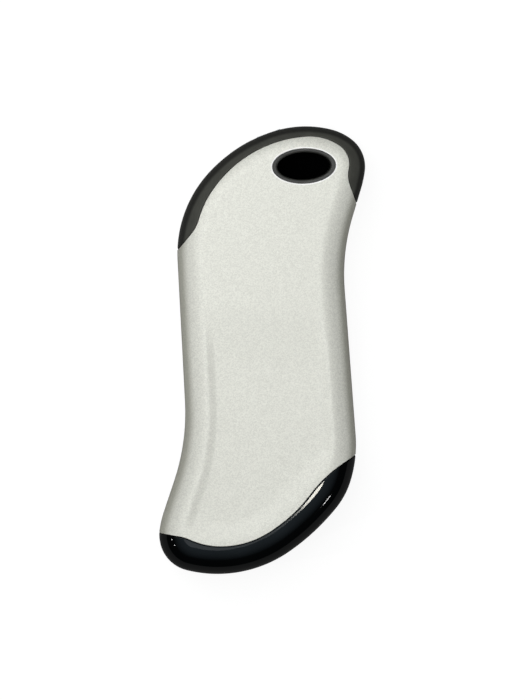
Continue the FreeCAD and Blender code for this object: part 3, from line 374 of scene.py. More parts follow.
def box_loop(width, height):
    """A box with rounded corners, round its centre."""
    radius = OPENING_CORNER
    corners = []
    for index, (x, y) in enumerate(((1, -1), (1, 1), (-1, 1), (-1, -1))):
        centre = np.array([x * (width / 2 - radius), y * (height / 2 - radius)])
        angles = np.linspace(index * 90 - 90, index * 90, CORNER_POINTS)
        corners.append(centre + along(angles) * radius)
    return np.concatenate(corners)


def ellipse_loop(length, height, count):
    """An ellipse's points round its centre."""
    return along(np.arange(0, 360, 360 / count)) * (length / 2, height / 2)


def subdivided(loop, step=STATION):
    """A loop with extra points along its long sides."""
    made = []
    for a, b in zip(loop, np.roll(loop, -1, axis=0)):
        pieces = max(1, int(np.linalg.norm(b - a) / step))
        made.extend(a + (b - a) * k / pieces for k in range(pieces))
    return np.array(made)


def turned_by(points, angle):
    """Points turned about the origin, anticlockwise by an angle in degrees."""
    c, s = math.cos(math.radians(angle)), math.sin(math.radians(angle))
    return points @ np.array([[c, s], [-s, c]])


def loop_distance(points, loop):
    """Distance from each point to a closed loop, and the direction to it."""
    best = np.full(len(points), np.inf)
    lead = np.zeros((len(points), 2))
    for a, b in zip(loop, np.roll(loop, -1, axis=0)):
        span = b - a
        share = np.clip((points - a) @ span / max(span @ span, TINY), 0, 1)
        arm = a + share[:, None] * span - points
        gap = np.linalg.norm(arm, axis=1)
        closer = gap < best
        best = np.where(closer, gap, best)
        lead[closer] = arm[closer]
    return best, lead / np.maximum(np.linalg.norm(lead, axis=1), TINY)[:, None]


def grown(loop, step):
    """A hole's loop moved away from the hole by step."""
    tangent = np.roll(loop, -1, axis=0) - np.roll(loop, 1, axis=0)
    tangent /= np.linalg.norm(tangent, axis=1)[:, None]
    return loop + np.stack([tangent[:, 1], -tangent[:, 0]], 1) * step


EYELET_LOOP = ellipse_loop(HOLE_LENGTH, HOLE_HEIGHT, EYELET_POINTS)
EYELET_LOOP = turned_by(EYELET_LOOP, EYELET_TILT) + EYELET_CENTRE


def edge_stations(first, last, step, radius):
    """Stations from first to last, close together near both ends."""
    near = np.array(EDGE_SHARES) * radius
    middle = np.arange(first + near[-1] + step / 2, last - near[-1] - step / 2, step)
    return np.concatenate([first + near, middle, last - near[::-1]])


class Region:
    """What lies on one side of the seams: outline stretches joined by seam stretches."""

    def __init__(self, stretches, seams, side, edge):
        self.stretches = stretches
        self.seams = seams
        self.side = side
        self.edge = edge

    def seam_depths(self, points):
        """For each seam, the depth behind the piece's edge and the direction to it."""
        found = []
        for line, shift in self.seams:
            inset, heading, _ = nearest(line, points)
            lead = np.zeros((len(points), 3))
            lead[:, :2] = outward(heading) * self.side
            found.append((np.maximum(inset * self.side - shift, 0), lead))
        return found

    def seam_loop(self, line, shift):
        """Points along the piece's edge at a seam, in the order of the region's loop."""
        (first, _), (last, _) = crossings(line, shift * self.side)
        stations = np.linspace(first, last, int((last - first) / SEAM_STATION))
        points, _ = on_path(line, stations, shift * self.side)
        return points if self.side > 0 else points[::-1]


def shell_region():
    """Between the seams: one stretch of outline on the right and one on the left."""
    shift = SEAM_GAP / 2
    head = crossings(HEAD_SEAM, shift)
    base = crossings(BASE_SEAM, shift)
    right = (base[1][1], head[0][1] + STARTS[-1])
    left = (head[1][1], base[0][1])
    return Region([right, left], [(HEAD_SEAM, shift), (BASE_SEAM, shift)], 1, SHELL_EDGE)


def cap_region(line):
    """Beyond one seam."""
    shift = SEAM_GAP / 2
    found = crossings(line, -shift)
    return Region([(found[0][1], found[1][1])], [(line, shift)], -1, CAP_EDGE)


def wrapped(stations):
    """Stations taken round the closed outline."""
    return np.mod(stations, STARTS[-1])


def region_loop(region):
    """The region's closed loop in plan: outline stretches and seams in turn."""
    loop = []
    for (first, last), (line, shift) in zip(region.stretches, region.seams):
        stations = edge_stations(first, last, STATION, region.edge)
        points, _ = on_path(OUTLINE, wrapped(stations))
        loop.append(points)
        loop.append(region.seam_loop(line, shift)[1:-1])
    return np.concatenate(loop)


def plan_points(region, loop, holes):
    """Inner points: rings round the roll, rows beside seams and holes, and a grid."""
    rows = []
    angles = np.radians(np.arange(1, ROLL_STEPS + 1) * 90 / ROLL_STEPS)
    insets = list(EDGE_ROLL * (1 - np.cos(angles)))
    insets += [EDGE_ROLL + INNER_ROW * k for k in range(1, INNER_ROWS + 1)]
    stations = np.arange(0, STARTS[-1], STATION)
    for inset in insets:
        rows.append(on_path(OUTLINE, stations, inset)[0])
    last = insets[-1]
    x, y = np.meshgrid(*(np.arange(-end, end, GRID) for end in GRID_REACH))
    grid = np.stack([x.ravel(), y.ravel()], 1)
    rows.append(grid[nearest(OUTLINE, grid)[0] > last + GRID / 2])
    rows = np.concatenate(rows)
    clear = region.edge * EDGE_SHARES[-1] + SEAM_ROOM
    rows = rows[np.min([depth for depth, _ in region.seam_depths(rows)], axis=0) > clear]
    for hole in holes:
        rows = rows[loop_distance(rows, hole)[0] > HOLE_EDGE * EDGE_SHARES[-1] + HOLE_ROOM]
    beside = []
    for line, shift in region.seams:
        (first, _), (end, _) = crossings(line, shift * region.side)
        stations = np.linspace(first, end, int((end - first) / SEAM_STATION))[1:-1]
        for share in EDGE_SHARES[1:]:
            inset = region.side * (shift + share * region.edge)
            beside.append(on_path(line, stations, inset)[0])
    for hole in holes:
        beside.extend(grown(hole, share * HOLE_EDGE) for share in EDGE_SHARES[1:])
    points = np.concatenate([rows] + beside)
    inset = nearest(OUTLINE, points)[0]
    first_ring = EDGE_ROLL * (1 - math.cos(angles[0]))
    points = points[inset > first_ring * OUTER_SHARE]
    return points[inside(points, [loop] + holes)]


def plan_patch(region, face, holes=(), dished=False):
    """The skin seen in plan: the flat and the roll of one face. face is 1 in front, -1 behind."""
    holes = list(holes)
    loop = region_loop(region)
    flat, triangles = triangulate([loop] + holes, plan_points(region, loop, holes))
    inset, heading, _ = nearest(OUTLINE, flat)
    inset = np.where(inset < ON_OUTLINE, 0.0, inset)
    cosine = np.clip((EDGE_ROLL - inset) / EDGE_ROLL, 0, 1)
    sine = np.sqrt(1 - cosine ** 2)
    points = np.column_stack([flat, ROLL_TOP + EDGE_ROLL * sine])
    normals = np.column_stack([outward(heading) * cosine[:, None], sine])
    base_points, base_normals = points.copy(), normals.copy()
    if dished:
        slopes = np.stack([(dish(flat + shift) - dish(flat - shift)) / (2 * SLOPE_STEP)
                           for shift in np.eye(2) * SLOPE_STEP], 1)
        points[:, 2] -= dish(flat)
        normals[:, :2] += slopes * sine[:, None]
        normals /= np.linalg.norm(normals, axis=1)[:, None]
    for depth, lead in region.seam_depths(flat):
        rolled_edge(points, normals, depth, lead, region.edge)
    for hole in holes:
        depth, toward = loop_distance(flat, hole)
        rolled_edge(points, normals, depth, np.column_stack([toward, np.zeros(len(flat))]), HOLE_EDGE)
    if face < 0:
        for array in (points, base_points):
            array[:, 2] = THICKNESS - array[:, 2]
        for array in (normals, base_normals):
            array[:, 2] *= -1
        triangles = triangles[:, ::-1]
    return points, normals, base_points, base_normals, triangles


def wall_patch(region, stretch, low, high, holes=(), low_edge=0.0, high_edge=0.0):
    """The upright wall along one stretch of the outline, drawn as station and height."""
    first, last = stretch
    stations = edge_stations(first, last, STATION, region.edge)
    rows = [low, high]
    for edge, start, sign in ((low_edge, low, 1), (high_edge, high, -1)):
        rows.extend(start + sign * edge * share for share in EDGE_SHARES[1:] if edge)
    rows.extend(np.arange(low + WALL_ROW, high - WALL_ROW / 2, WALL_ROW))
    rows = np.unique(np.round(rows, ROW_DECIMALS))
    bottom = np.column_stack([stations, np.full(len(stations), low)])
    top = np.column_stack([stations, np.full(len(stations), high)])
    sides = rows[1:-1]
    right = np.column_stack([np.full(len(sides), last), sides])
    left = np.column_stack([np.full(len(sides), first), sides])
    loop = np.concatenate([bottom, right, top[::-1], left[::-1]])
    x, z = np.meshgrid(stations[1:-1], sides)
    inner = np.stack([x.ravel(), z.ravel()], 1)
    holes = list(holes)
    for hole in holes:
        inner = inner[loop_distance(inner, hole)[0] > OPENING_EDGE * EDGE_SHARES[-1] + OPENING_ROOM]
    beside = [grown(hole, share * OPENING_EDGE) for hole in holes for share in EDGE_SHARES[1:]]
    extra = np.concatenate([inner] + beside)
    extra = extra[inside(extra, [loop] + holes)]
    flat, triangles = triangulate([loop] + holes, extra)
    plan, heading = on_path(OUTLINE, wrapped(flat[:, 0]))
    points = np.column_stack([plan, flat[:, 1]])
    normals = np.column_stack([outward(heading), np.zeros(len(flat))])
    base_points, base_normals = points.copy(), normals.copy()
    for depth, lead in region.seam_depths(plan):
        rolled_edge(points, normals, depth, lead, region.edge)
    upright = np.tile([0.0, 0.0, 1.0], (len(flat), 1))
    if low_edge:
        rolled_edge(points, normals, flat[:, 1] - low, -upright, low_edge)
    if high_edge:
        rolled_edge(points, normals, high - flat[:, 1], upright, high_edge)
    for hole in holes:
        depth, toward = loop_distance(flat, hole)
        run = np.column_stack([along(heading) * toward[:, :1], toward[:, 1]])
        rolled_edge(points, normals, depth, run, OPENING_EDGE)
    return points, normals, base_points, base_normals, triangles


def welded(patches):
    """Patches of skin joined into one where their base points meet."""
    counts = np.cumsum([0] + [len(patch[0]) for patch in patches])
    points, normals, base_points, base_normals = (
        np.concatenate([patch[k] for patch in patches]) for k in range(4))
    triangles = np.concatenate([patch[4] + counts[k] for k, patch in enumerate(patches)])
    keys = np.round(base_points, MERGE_DECIMALS)
    _, firsts, owner = np.unique(keys, axis=0, return_index=True, return_inverse=True)
    triangles = owner.reshape(-1)[triangles]
    whole = ((triangles[:, 0] != triangles[:, 1]) & (triangles[:, 1] != triangles[:, 2])
             & (triangles[:, 2] != triangles[:, 0]))
    joined = (array[firsts] for array in (points, normals, base_points, base_normals))
    return *joined, triangles[whole]


def open_rims(triangles, count):
    """The edges that only one triangle has, in that triangle's direction."""
    directed = np.concatenate([triangles[:, [0, 1]], triangles[:, [1, 2]], triangles[:, [2, 0]]])
    code = directed[:, 0] * count + directed[:, 1]
    back = directed[:, 1] * count + directed[:, 0]
    return directed[~np.isin(code, back)]


def thick_mesh(name, patches, wall):
    """One closed mesh from patches of skin: outside, inside and the rims between them."""
    points, normals, base_points, base_normals, triangles = welded(patches)
    inner = base_points - base_normals * wall
    inner_normals = -base_normals
    count = len(points)
    rims = open_rims(triangles, count)
    faces = [tuple(t) for t in triangles]
    faces += [(c + count, b + count, a + count) for a, b, c in triangles]
    faces += [(b, a, a + count, b + count) for a, b in rims]
    mesh = bpy.data.meshes.new(name)
    mesh.from_pydata((np.concatenate([points, inner]) * MM).tolist(), [], faces)
    mesh.polygons.foreach_set("use_smooth", [True] * len(mesh.polygons))
    smooth = list(normals[triangles].reshape(-1, 3))
    smooth += list(inner_normals[triangles[:, ::-1]].reshape(-1, 3))
    for a, b in rims:
        across = np.cross(inner[a] - points[b], inner[b] - points[a])
        across /= max(np.linalg.norm(across), TINY)
        smooth += [-across] * 4
    mesh.normals_split_custom_set([tuple(normal) for normal in smooth])
    mesh.update()
    piece = bpy.data.objects.new(name, mesh)
    bpy.context.scene.collection.objects.link(piece)
    return piece


def casing_piece(name, node, patches, wall):
    """A skin that takes the place of a CAD node."""
    piece = thick_mesh(name, patches, wall)
    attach(piece, "case")
    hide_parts(node)
    return piece


def head_spot(heading):
    """The point of the head's outline with this heading."""
    for start, end, first, last, centre, radius, length in OUTLINE[HEAD_SPANS]:
        if first <= heading <= last:
            return centre + outward(heading) * radius
    raise ValueError("no arc of the head has heading %s" % heading)


def wall_hole(loop, heading, height=MIDDLE):
    """A loop drawn round its centre, placed in the wall at a heading of the head's outline."""
    _, _, station = nearest(OUTLINE, head_spot(heading)[None])
    return loop + (station[0], height)


def cap_openings():
    """The sockets, the button and the row of lamps."""
    holes = [wall_hole(subdivided(box_loop(*USB_SIZE)), USB_HEADING),
             wall_hole(subdivided(box_loop(*CHARGE_SIZE)), CHARGE_HEADING, MIDDLE - CHARGE_DROP),
             wall_hole(subdivided(oval_loop(*BUTTON_SIZE)), BUTTON_HEADING)]
    for index in range(LAMP_COUNT):
        shift = (index - (LAMP_COUNT - 1) / 2) * LAMP_PITCH
        circle = ellipse_loop(LAMP_HOLE, LAMP_HOLE, LAMP_POINTS)
        holes.append(wall_hole(circle + (shift, 0), LAMP_HEADING))
    return holes


def build_casing():
    """The four skins: front shell, rear shell, head cap and base cap."""
    shells = shell_region()
    front = [plan_patch(shells, 1, [EYELET_LOOP], dished=True)]
    rear = [plan_patch(shells, -1, [EYELET_LOOP])]
    for stretch in shells.stretches:
        front.append(wall_patch(shells, stretch, MIDDLE + SHELL_SPLIT, ROLL_TOP, low_edge=SHELL_EDGE))
        rear.append(wall_patch(shells, stretch, EDGE_ROLL, MIDDLE - SHELL_SPLIT, high_edge=SHELL_EDGE))
    pieces = [casing_piece("front_shell_skin", "front_shell", front, SHELL_WALL),
              casing_piece("rear_shell_skin", "rear_shell", rear, SHELL_WALL)]
    for name, node, line, holes in (("head_cap_skin", "head_cap", HEAD_SEAM, cap_openings()),
                                    ("base_cap_skin", "base_cap", BASE_SEAM, [])):
        region = cap_region(line)
        wall = wall_patch(region, region.stretches[0], EDGE_ROLL, ROLL_TOP, holes)
        patches = [plan_patch(region, 1), wall, plan_patch(region, -1)]
        pieces.append(casing_piece(name, node, patches, CAP_WALL))
    return pieces


# Materials

# How far from the mid-plane the walls end and the faces begin: for the walls' duller roughness, for
# the painted shade on the walls, and for the gloss cap's painted sheen on its faces
DULL_WALLS = (9.5, 12.3)
PAINTED_SHADE_WALLS = (9.8, 11.6)
PAINTED_SHADE_BAND = (10.0, 10.8)
PAINTED_SHEEN_BAND = (12.25, 13.02)

# Width of the painted highlight round the eyelet's hole, also the reach of the floor's painted shadow
# under it, and where it blends into the rest
HIGHLIGHT_AND_SHADOW_REACH = 0.32
HIGHLIGHT_AND_SHADOW_BLEND = (1.0, 1.015)

# The levels that noise is stretched between, the grain of the walls' roughness, up and down,
# and the looks that all plain pieces share
NOISE_RANGE = (0.3, 0.7)
WALL_GRAIN = 0.04
PLAIN_SCALE = 2500.0
PLAIN_CONTRAST = 0.12
PLAIN_ROUGHNESS_SCALE = PLAIN_SCALE / 12
PLAIN_ROUGHNESS_GRAIN = 0.05
PLAIN_BUMP = 0.00002
BLACK = (0, 0, 0)


class Finish:
    """A procedural material built round one Principled shader."""

    def __init__(self, name, colour, roughness, metallic=0.0):
        self.material = bpy.data.materials.new(name)
        self.material.use_nodes = True
        self.tree = self.material.node_tree
        self.shader = self.tree.nodes["Principled BSDF"]
        self.shader.inputs["Base Color"].default_value = (*colour, 1)
        self.shader.inputs["Roughness"].default_value = roughness
        self.shader.inputs["Metallic"].default_value = metallic
        self.place = self.node("ShaderNodeTexCoord").outputs["Object"]

    def node(self, kind, **values):
        made = self.tree.nodes.new(kind)
        for key, value in values.items():
            setattr(made, key, value)
        return made

    def link(self, source, target):
        self.tree.links.new(source, target)

    def noise(self, scale, detail=2.0, roughness=0.5):
        """Cloudy noise fixed to the piece."""
        made = self.node("ShaderNodeTexNoise")
        made.inputs["Scale"].default_value = scale
        made.inputs["Detail"].default_value = detail
        made.inputs["Roughness"].default_value = roughness
        self.link(self.place, made.inputs["Vector"])
        return made.outputs["Fac"]

    def spots(self, scale):
        """Cells of one random level each, fixed to the piece."""
        cells = self.node("ShaderNodeTexVoronoi")
        cells.inputs["Scale"].default_value = scale
        self.link(self.place, cells.inputs["Vector"])
        level = self.node("ShaderNodeSeparateColor")
        self.link(cells.outputs["Color"], level.inputs["Color"])
        return level.outputs["Red"]

    def spread(self, source, low, high, levels=NOISE_RANGE):
        """Maps a value from its two levels to low and high, and clamps it there."""
        made = self.node("ShaderNodeMapRange")
        made.inputs["From Min"].default_value = levels[0]
        made.inputs["From Max"].default_value = levels[1]
        made.inputs["To Min"].default_value = low
        made.inputs["To Max"].default_value = high
        self.link(source, made.inputs["Value"])
        return made.outputs["Result"]

    def colour_between(self, source, first, second, levels=NOISE_RANGE):
        """The base colour, from the first to the second as the value rises."""
        mix = self.node("ShaderNodeMix", data_type="RGBA")
        self.link(self.spread(source, 0, 1, levels), mix.inputs["Factor"])
        mix.inputs["A"].default_value = (*first, 1)
        mix.inputs["B"].default_value = (*second, 1)
        self.link(mix.outputs["Result"], self.shader.inputs["Base Color"])
        return mix.outputs["Result"]

    def varied(self, source, colour, contrast, levels=NOISE_RANGE):
        """The base colour, varied down and up by a contrast."""
        dark, light = shade(colour, 1 - contrast), shade(colour, 1 + contrast)
        return self.colour_between(source, dark, light, levels)

    def rough_between(self, source, low, high):
        self.link(self.spread(source, low, high), self.shader.inputs["Roughness"])

    def maths(self, operation, first, second):
        made = self.node("ShaderNodeMath", operation=operation)
        for socket, value in zip(made.inputs, (first, second)):
            if isinstance(value, (int, float)):
                socket.default_value = value
            else:
                self.link(value, socket)
        return made.outputs[0]

    def towards_walls(self, wall, face):
        """1 on the walls and 0 on the faces, changing between two distances from the mid-plane."""
        place = self.node("ShaderNodeSeparateXYZ")
        self.link(self.place, place.inputs["Vector"])
        height = self.maths("SUBTRACT", place.outputs["Z"], MIDDLE * MM)
        off_middle = self.maths("ABSOLUTE", height, 0.0)
        return self.spread(off_middle, 1, 0, (wall * MM, face * MM))

    def wall_share(self, band, share):
        """The share on the walls and 0 on the faces, changing over a band."""
        return self.spread(self.towards_walls(*band), 0, share, (0, 1))

    def duller_walls(self, grain, face, wall):
        """Roughness that rises from the faces to the walls, with a grain of its own."""
        level = self.spread(self.towards_walls(*DULL_WALLS), face, wall, (0, 1))
        grained = self.maths("ADD", level, self.spread(grain, -WALL_GRAIN, WALL_GRAIN))
        self.link(grained, self.shader.inputs["Roughness"])

    def over(self, below, colour, share):
        """Lays a colour over the one below by a share, as the base colour."""
        mix = self.node("ShaderNodeMix", data_type="RGBA")
        self.link(share, mix.inputs["Factor"])
        self.link(below, mix.inputs["A"])
        mix.inputs["B"].default_value = (*colour, 1)
        self.link(mix.outputs["Result"], self.shader.inputs["Base Color"])
        return mix.outputs["Result"]

    def at_eyelet(self):
        """1 over the eyelet and the narrow ring round its hole, and 0 beyond: the ring of painted
        highlight on the silver, and the patch of painted shadow on the floor.
        """
        mapping = self.node("ShaderNodeMapping", vector_type="TEXTURE")
        mapping.inputs["Location"].default_value = (*(EYELET_CENTRE * MM), 0)
        mapping.inputs["Rotation"].default_value = (0, 0, math.radians(EYELET_TILT))
        reach = [(size / 2 + HIGHLIGHT_AND_SHADOW_REACH) * MM for size in (HOLE_LENGTH, HOLE_HEIGHT)]
        mapping.inputs["Scale"].default_value = (*reach, 1)
        self.link(self.place, mapping.inputs["Vector"])
        length = self.node("ShaderNodeVectorMath", operation="LENGTH")
        self.link(mapping.outputs["Vector"], length.inputs[0])
        return self.spread(length.outputs["Value"], 1, 0, HIGHLIGHT_AND_SHADOW_BLEND)

    def bump(self, source, distance, strength=1.0):
        made = self.node("ShaderNodeBump")
        made.inputs["Strength"].default_value = strength
        made.inputs["Distance"].default_value = distance
        self.link(source, made.inputs["Height"])
        self.link(made.outputs["Normal"], self.shader.inputs["Normal"])


def shade(colour, factor):
    """A colour made darker or lighter."""
    return tuple(min(1.0, channel * factor) for channel in colour)


def plain_finish(name, colour, roughness, metallic):
    """A moulded, sawn or rolled surface with its own grain."""
    finish = Finish(name, colour, roughness, metallic)
    grain = finish.noise(PLAIN_SCALE, 3.0)
    finish.varied(grain, colour, PLAIN_CONTRAST)
    finish.rough_between(finish.noise(PLAIN_ROUGHNESS_SCALE),
                         roughness - PLAIN_ROUGHNESS_GRAIN, roughness + PLAIN_ROUGHNESS_GRAIN)
    finish.bump(grain, PLAIN_BUMP)
    return finish.material


def satin_aluminium():
    """Silver lacquer over the metal: fine bright grains, painted shade that darkens the walls, and a
    painted highlight round the eyelet's hole.
    """
    colour = (0.75, 0.755, 0.69)
    # painted shade: the silver is darkened on the walls, where the edges turn away from the light
    painted_shade_colour = (0.085, 0.078, 0.02)
    # painted highlight: a near-white ring round the eyelet's hole
    painted_highlight_colour = (0.95, 0.95, 0.93)
    finish = Finish("satin_aluminium", colour, 0.5, 0.13)
    finish.shader.inputs["Specular IOR Level"].default_value = 0.4
    grained = finish.varied(finish.spots(3800.0), colour, 0.1, (0, 1))
    with_painted_shade = finish.over(grained, painted_shade_colour, finish.wall_share(PAINTED_SHADE_WALLS, 0.42))
    finish.over(with_painted_shade, painted_highlight_colour, finish.at_eyelet())
    finish.duller_walls(finish.noise(1400.0, 3.0), 0.5, 0.8)
    finish.bump(finish.noise(5200.0, 2.0), 0.00002, 0.5)
    return finish.material


def satin_black():
    """Black paint with a dull wall, and painted shade that darkens its outer band and wall."""
    colour = (0.062, 0.063, 0.055)
    finish = Finish("cap_satin", colour, 0.42)
    finish.shader.inputs["Specular IOR Level"].default_value = 0.12
    finish.duller_walls(finish.noise(900.0, 4.0), 0.45, 0.8)
    clouded = finish.varied(finish.noise(160.0, 3.0), colour, 0.15)
    # painted shade: the outer band and the wall are darkened towards black
    finish.over(clouded, BLACK, finish.wall_share(PAINTED_SHADE_BAND, 0.7))
    finish.bump(finish.noise(6500.0, 2.0), 0.00001, 0.6)
    return finish.material


def gloss_black():
    """Black under a thin clear lacquer, whose mirror is weaker than solid gloss at every angle. The
    faces carry a bluish painted sheen, and the walls stay black.
    """
    # painted sheen: the faces' bluish colour stands in for a soft reflection; the walls are laid over
    # with black
    colour = (0.0135, 0.0172, 0.02)
    finish = Finish("cap_gloss", colour, 0.5)
    finish.shader.inputs["Specular IOR Level"].default_value = 0.0
    finish.shader.inputs["Coat Weight"].default_value = 0.07
    finish.shader.inputs["Coat IOR"].default_value = 1.8
    finish.shader.inputs["Coat Roughness"].default_value = 0.05
    finish.rough_between(finish.noise(120.0, 5.0, 0.6), 0.45, 0.55)
    clouded = finish.varied(finish.noise(60.0, 3.0), colour, 0.2)
    finish.over(clouded, BLACK, finish.wall_share(PAINTED_SHEEN_BAND, 0.9))
    return finish.material


def paint(node, material):
    """Gives a CAD node, by its name, or a skin its one material."""
    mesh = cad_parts[node].data if isinstance(node, str) else node.data
    mesh.materials.clear()
    mesh.materials.append(material)


# Plain materials: colour, roughness, metallic and the nodes that have them
PLAIN = {
    "eyelet_trim": ((0.018, 0.019, 0.016), 0.5, 0.0, ["eyelet_front", "eyelet_rear"]),
    "button_plastic": ((0.03, 0.03, 0.032), 0.5, 0.0, ["power_button"]),
    "plated_steel": ((0.62, 0.6, 0.57), 0.3, 1.0,
                     ["usb_a_shell", "charge_port_shell", "board_screws", "chassis_screws"]),
    "black_insulator": ((0.012, 0.012, 0.012), 0.5, 0.0,
                        ["usb_a_tongue", "charge_port_tongue", "switch_body", "switch_plunger"]),
    "contact_metal": ((0.8, 0.58, 0.25), 0.3, 1.0, ["usb_a_contacts"]),
    "board_laminate": ((0.01, 0.09, 0.035), 0.4, 0.0, ["main_board"]),
    "chip_resin": ((0.02, 0.02, 0.022), 0.6, 0.0, ["control_chips"]),
    "ferrite": ((0.06, 0.055, 0.055), 0.7, 0.0, ["inductor"]),
    "capacitor_body": ((0.36, 0.24, 0.12), 0.55, 0.0, ["capacitors"]),
    "led_package": ((0.75, 0.75, 0.7), 0.4, 0.0, ["indicator_leds"]),
    "cell_wrap": ((0.02, 0.1, 0.3), 0.35, 0.0, ["cell_left", "cell_right"]),
    "fibre_ring": ((0.7, 0.72, 0.68), 0.8, 0.0, ["cell_insulators"]),
    "nickel_strip": ((0.66, 0.64, 0.6), 0.35, 1.0, ["cell_tab_top", "cell_tab_bottom"]),
    "lead_red": ((0.35, 0.01, 0.01), 0.5, 0.0, ["battery_lead_positive"]),
    "lead_black": ((0.012, 0.012, 0.012), 0.5, 0.0, ["battery_lead_negative"]),
    "lead_white": ((0.75, 0.75, 0.72), 0.5, 0.0, ["heater_leads"]),
    "heater_film": ((0.5, 0.16, 0.02), 0.3, 0.0, ["front_heater", "rear_heater"]),
    "foam": ((0.05, 0.05, 0.055), 0.95, 0.0, ["front_insulation", "rear_insulation"]),
    "sensor_bead": ((0.02, 0.02, 0.02), 0.3, 0.0, ["thermistor"]),
    "chassis_plastic": ((0.015, 0.015, 0.016), 0.55, 0.0, ["chassis_front", "chassis_rear"]),
}


def clear_lens():
    """Clear, faintly blue plastic."""
    finish = Finish("clear_lens", (0.75, 0.82, 0.9), 0.25)
    finish.shader.inputs["Transmission Weight"].default_value = 0.7
    finish.shader.inputs["IOR"].default_value = 1.5
    finish.rough_between(finish.noise(3000.0), 0.2, 0.4)
    return finish.material


def dress(casing):
    """A material and a slot for every piece."""
    for name, (colour, roughness, metallic, nodes) in PLAIN.items():
        material = plain_finish(name, colour, roughness, metallic)
        for node in nodes:
            paint(node, material)
    paint("indicator_lens", clear_lens())
    aluminium = satin_aluminium()
    for piece, material, slot in zip(casing, (aluminium, aluminium, satin_black(), gloss_black()),
                                     ("satin_aluminium", "satin_aluminium",
                                      "cap_satin", "cap_gloss")):
        paint(piece, material)


# Stage: pale floor, soft lights and the camera

WHITE = (1, 1, 1)
FLOOR_SIZE = 4.0
FLOOR_COLOUR = (0.18, 0.18, 0.18)
FLOOR_ROUGHNESS = 0.9
# painted shadow: the floor's colour under the eyelet's hole
PAINTED_HOLE_SHADOW = (0.002, 0.002, 0.002)
FLOOR_GLOW = 0.9
WORLD_STRENGTH = 0.05

# Camera: millimetres to the pixel at the height of the roll's top, the spot there that is the
# photo's middle, and the lean of the camera off the vertical in radians
LENS = 720.0
SENSOR = 36.0
PHOTO_HEIGHT = 700
PHOTO_SCALE = 0.27813
PHOTO_CENTRE = (0.06, 0.06)
PHOTO_DISTANCE = PHOTO_HEIGHT * PHOTO_SCALE * MM * LENS / SENSOR
CAMERA_LEAN = (-0.012, 0.013)
CAMERA_FOOT = [middle * MM + lean * PHOTO_DISTANCE
               for middle, lean in zip(PHOTO_CENTRE, CAMERA_LEAN)]

# Soft lights: name, tilt from upright, heading, distance, size, power and colour
SOFT_LIGHTS = [
    ("key", 26, 124, 0.42, (0.36, 0.36), 1.06, WHITE),
    ("fill", 61, -39.6, 0.8, (0.072, 0.022), 1.3, WHITE),
    ("rim_high", 62, 194, 0.8, (0.025, 0.025), 0.5, WHITE),
    ("rim_low", 57, 209, 0.8, (0.025, 0.025), 0.45, WHITE),
    ("sheen", 4, 150, 1.0, (0.3, 0.3), 1.3, (0.92, 0.96, 1.0)),
]

# The short strip of light, over the spot beside the seam where the base cap mirrors it
CATCH_SPOT = (0.0159, -0.0394)
CATCH_HEADING = 51.0
CATCH_RISE = 0.6
CATCH_SIZE = (0.0148, 0.02)
CATCH_POWER = 0.15
CATCH_COLOUR = (1.0, 0.97, 0.87)


def above(tilt, heading, distance):
    """A spot above the part, tilted from upright towards a heading."""
    run = distance * math.sin(math.radians(tilt))
    x, y = along(heading) * run
    return x, y, distance * math.cos(math.radians(tilt))


def soft_light(name, spot, size, power, colour):
    """A rectangle of light that faces the part."""
    data = bpy.data.lights.new(name, "AREA")
    data.shape = "RECTANGLE"
    data.size, data.size_y = size
    data.energy = power
    data.color = colour
    lamp = bpy.data.objects.new(name, data)
    lamp.visible_camera = False
    lamp.location = spot
    lamp.rotation_euler = (-lamp.location).to_track_quat("-Z", "Y").to_euler()
    bpy.context.scene.collection.objects.link(lamp)
    return lamp


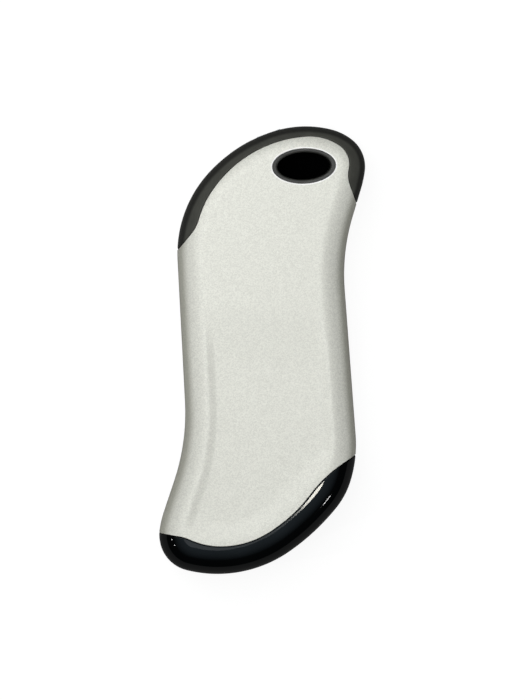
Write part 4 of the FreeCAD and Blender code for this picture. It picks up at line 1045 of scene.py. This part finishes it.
def pale_floor():
    """A pale floor, white in camera, glossy and transmitted rays, but with a painted shadow under the
    eyelet.
    """
    mesh = bpy.data.meshes.new("floor")
    half = FLOOR_SIZE / 2
    level = CAD_BOX[0].z
    corners = [(-half, -half, level), (half, -half, level), (half, half, level), (-half, half, level)]
    mesh.from_pydata(corners, [], [(0, 1, 2, 3)])
    floor = bpy.data.objects.new("floor", mesh)
    bpy.context.scene.collection.objects.link(floor)
    finish = Finish("floor_white", FLOOR_COLOUR, FLOOR_ROUGHNESS)
    finish.shader.inputs["Specular IOR Level"].default_value = 0.0
    path = finish.node("ShaderNodeLightPath")
    seen = finish.maths("MAXIMUM", path.outputs["Is Camera Ray"], path.outputs["Is Glossy Ray"])
    seen = finish.maths("MAXIMUM", seen, path.outputs["Is Transmission Ray"])
    hole = finish.at_eyelet()
    # painted shadow: near black and without glow under the eyelet's hole
    finish.colour_between(hole, FLOOR_COLOUR, PAINTED_HOLE_SHADOW, (0, 1))
    open_floor = finish.spread(hole, FLOOR_GLOW, 0, (0, 1))
    finish.shader.inputs["Emission Color"].default_value = (*WHITE, 1)
    finish.link(finish.maths("MULTIPLY", seen, open_floor), finish.shader.inputs["Emission Strength"])
    mesh.materials.append(finish.material)


def world_light():
    """A dim, even light from all sides."""
    world = bpy.data.worlds.new("studio")
    bpy.context.scene.world = world
    world.use_nodes = True
    background = world.node_tree.nodes["Background"]
    background.inputs["Color"].default_value = (*WHITE, 1)
    background.inputs["Strength"].default_value = WORLD_STRENGTH


def catch_light():
    """A short strip that the glossy base cap mirrors beside its seam."""
    onwards = CATCH_RISE / PHOTO_DISTANCE
    spot = [near + (near - foot) * onwards for near, foot in zip(CATCH_SPOT, CAMERA_FOOT)]
    spot.append(THICKNESS * MM + CATCH_RISE)
    strip = soft_light("catch", spot, CATCH_SIZE, CATCH_POWER, CATCH_COLOUR)
    strip.rotation_euler = (0, 0, math.radians(CATCH_HEADING))


def camera():
    """The photo's camera, far above the part."""
    data = bpy.data.cameras.new("camera")
    data.lens = LENS
    data.sensor_width = SENSOR
    seen = bpy.data.objects.new("camera", data)
    seen.location = (*CAMERA_FOOT, ROLL_TOP * MM + PHOTO_DISTANCE)
    seen.rotation_euler = (-CAMERA_LEAN[1], CAMERA_LEAN[0], 0)
    bpy.context.scene.collection.objects.link(seen)
    bpy.context.scene.camera = seen


def stage():
    """The floor, the lights, the camera and the plain view transform."""
    pale_floor()
    world_light()
    for name, tilt, heading, distance, size, power, colour in SOFT_LIGHTS:
        soft_light(name, above(tilt, heading, distance), size, power, colour)
    catch_light()
    camera()
    bpy.context.scene.view_settings.view_transform = "Standard"


casing = build_casing()
dress(casing)
stage()
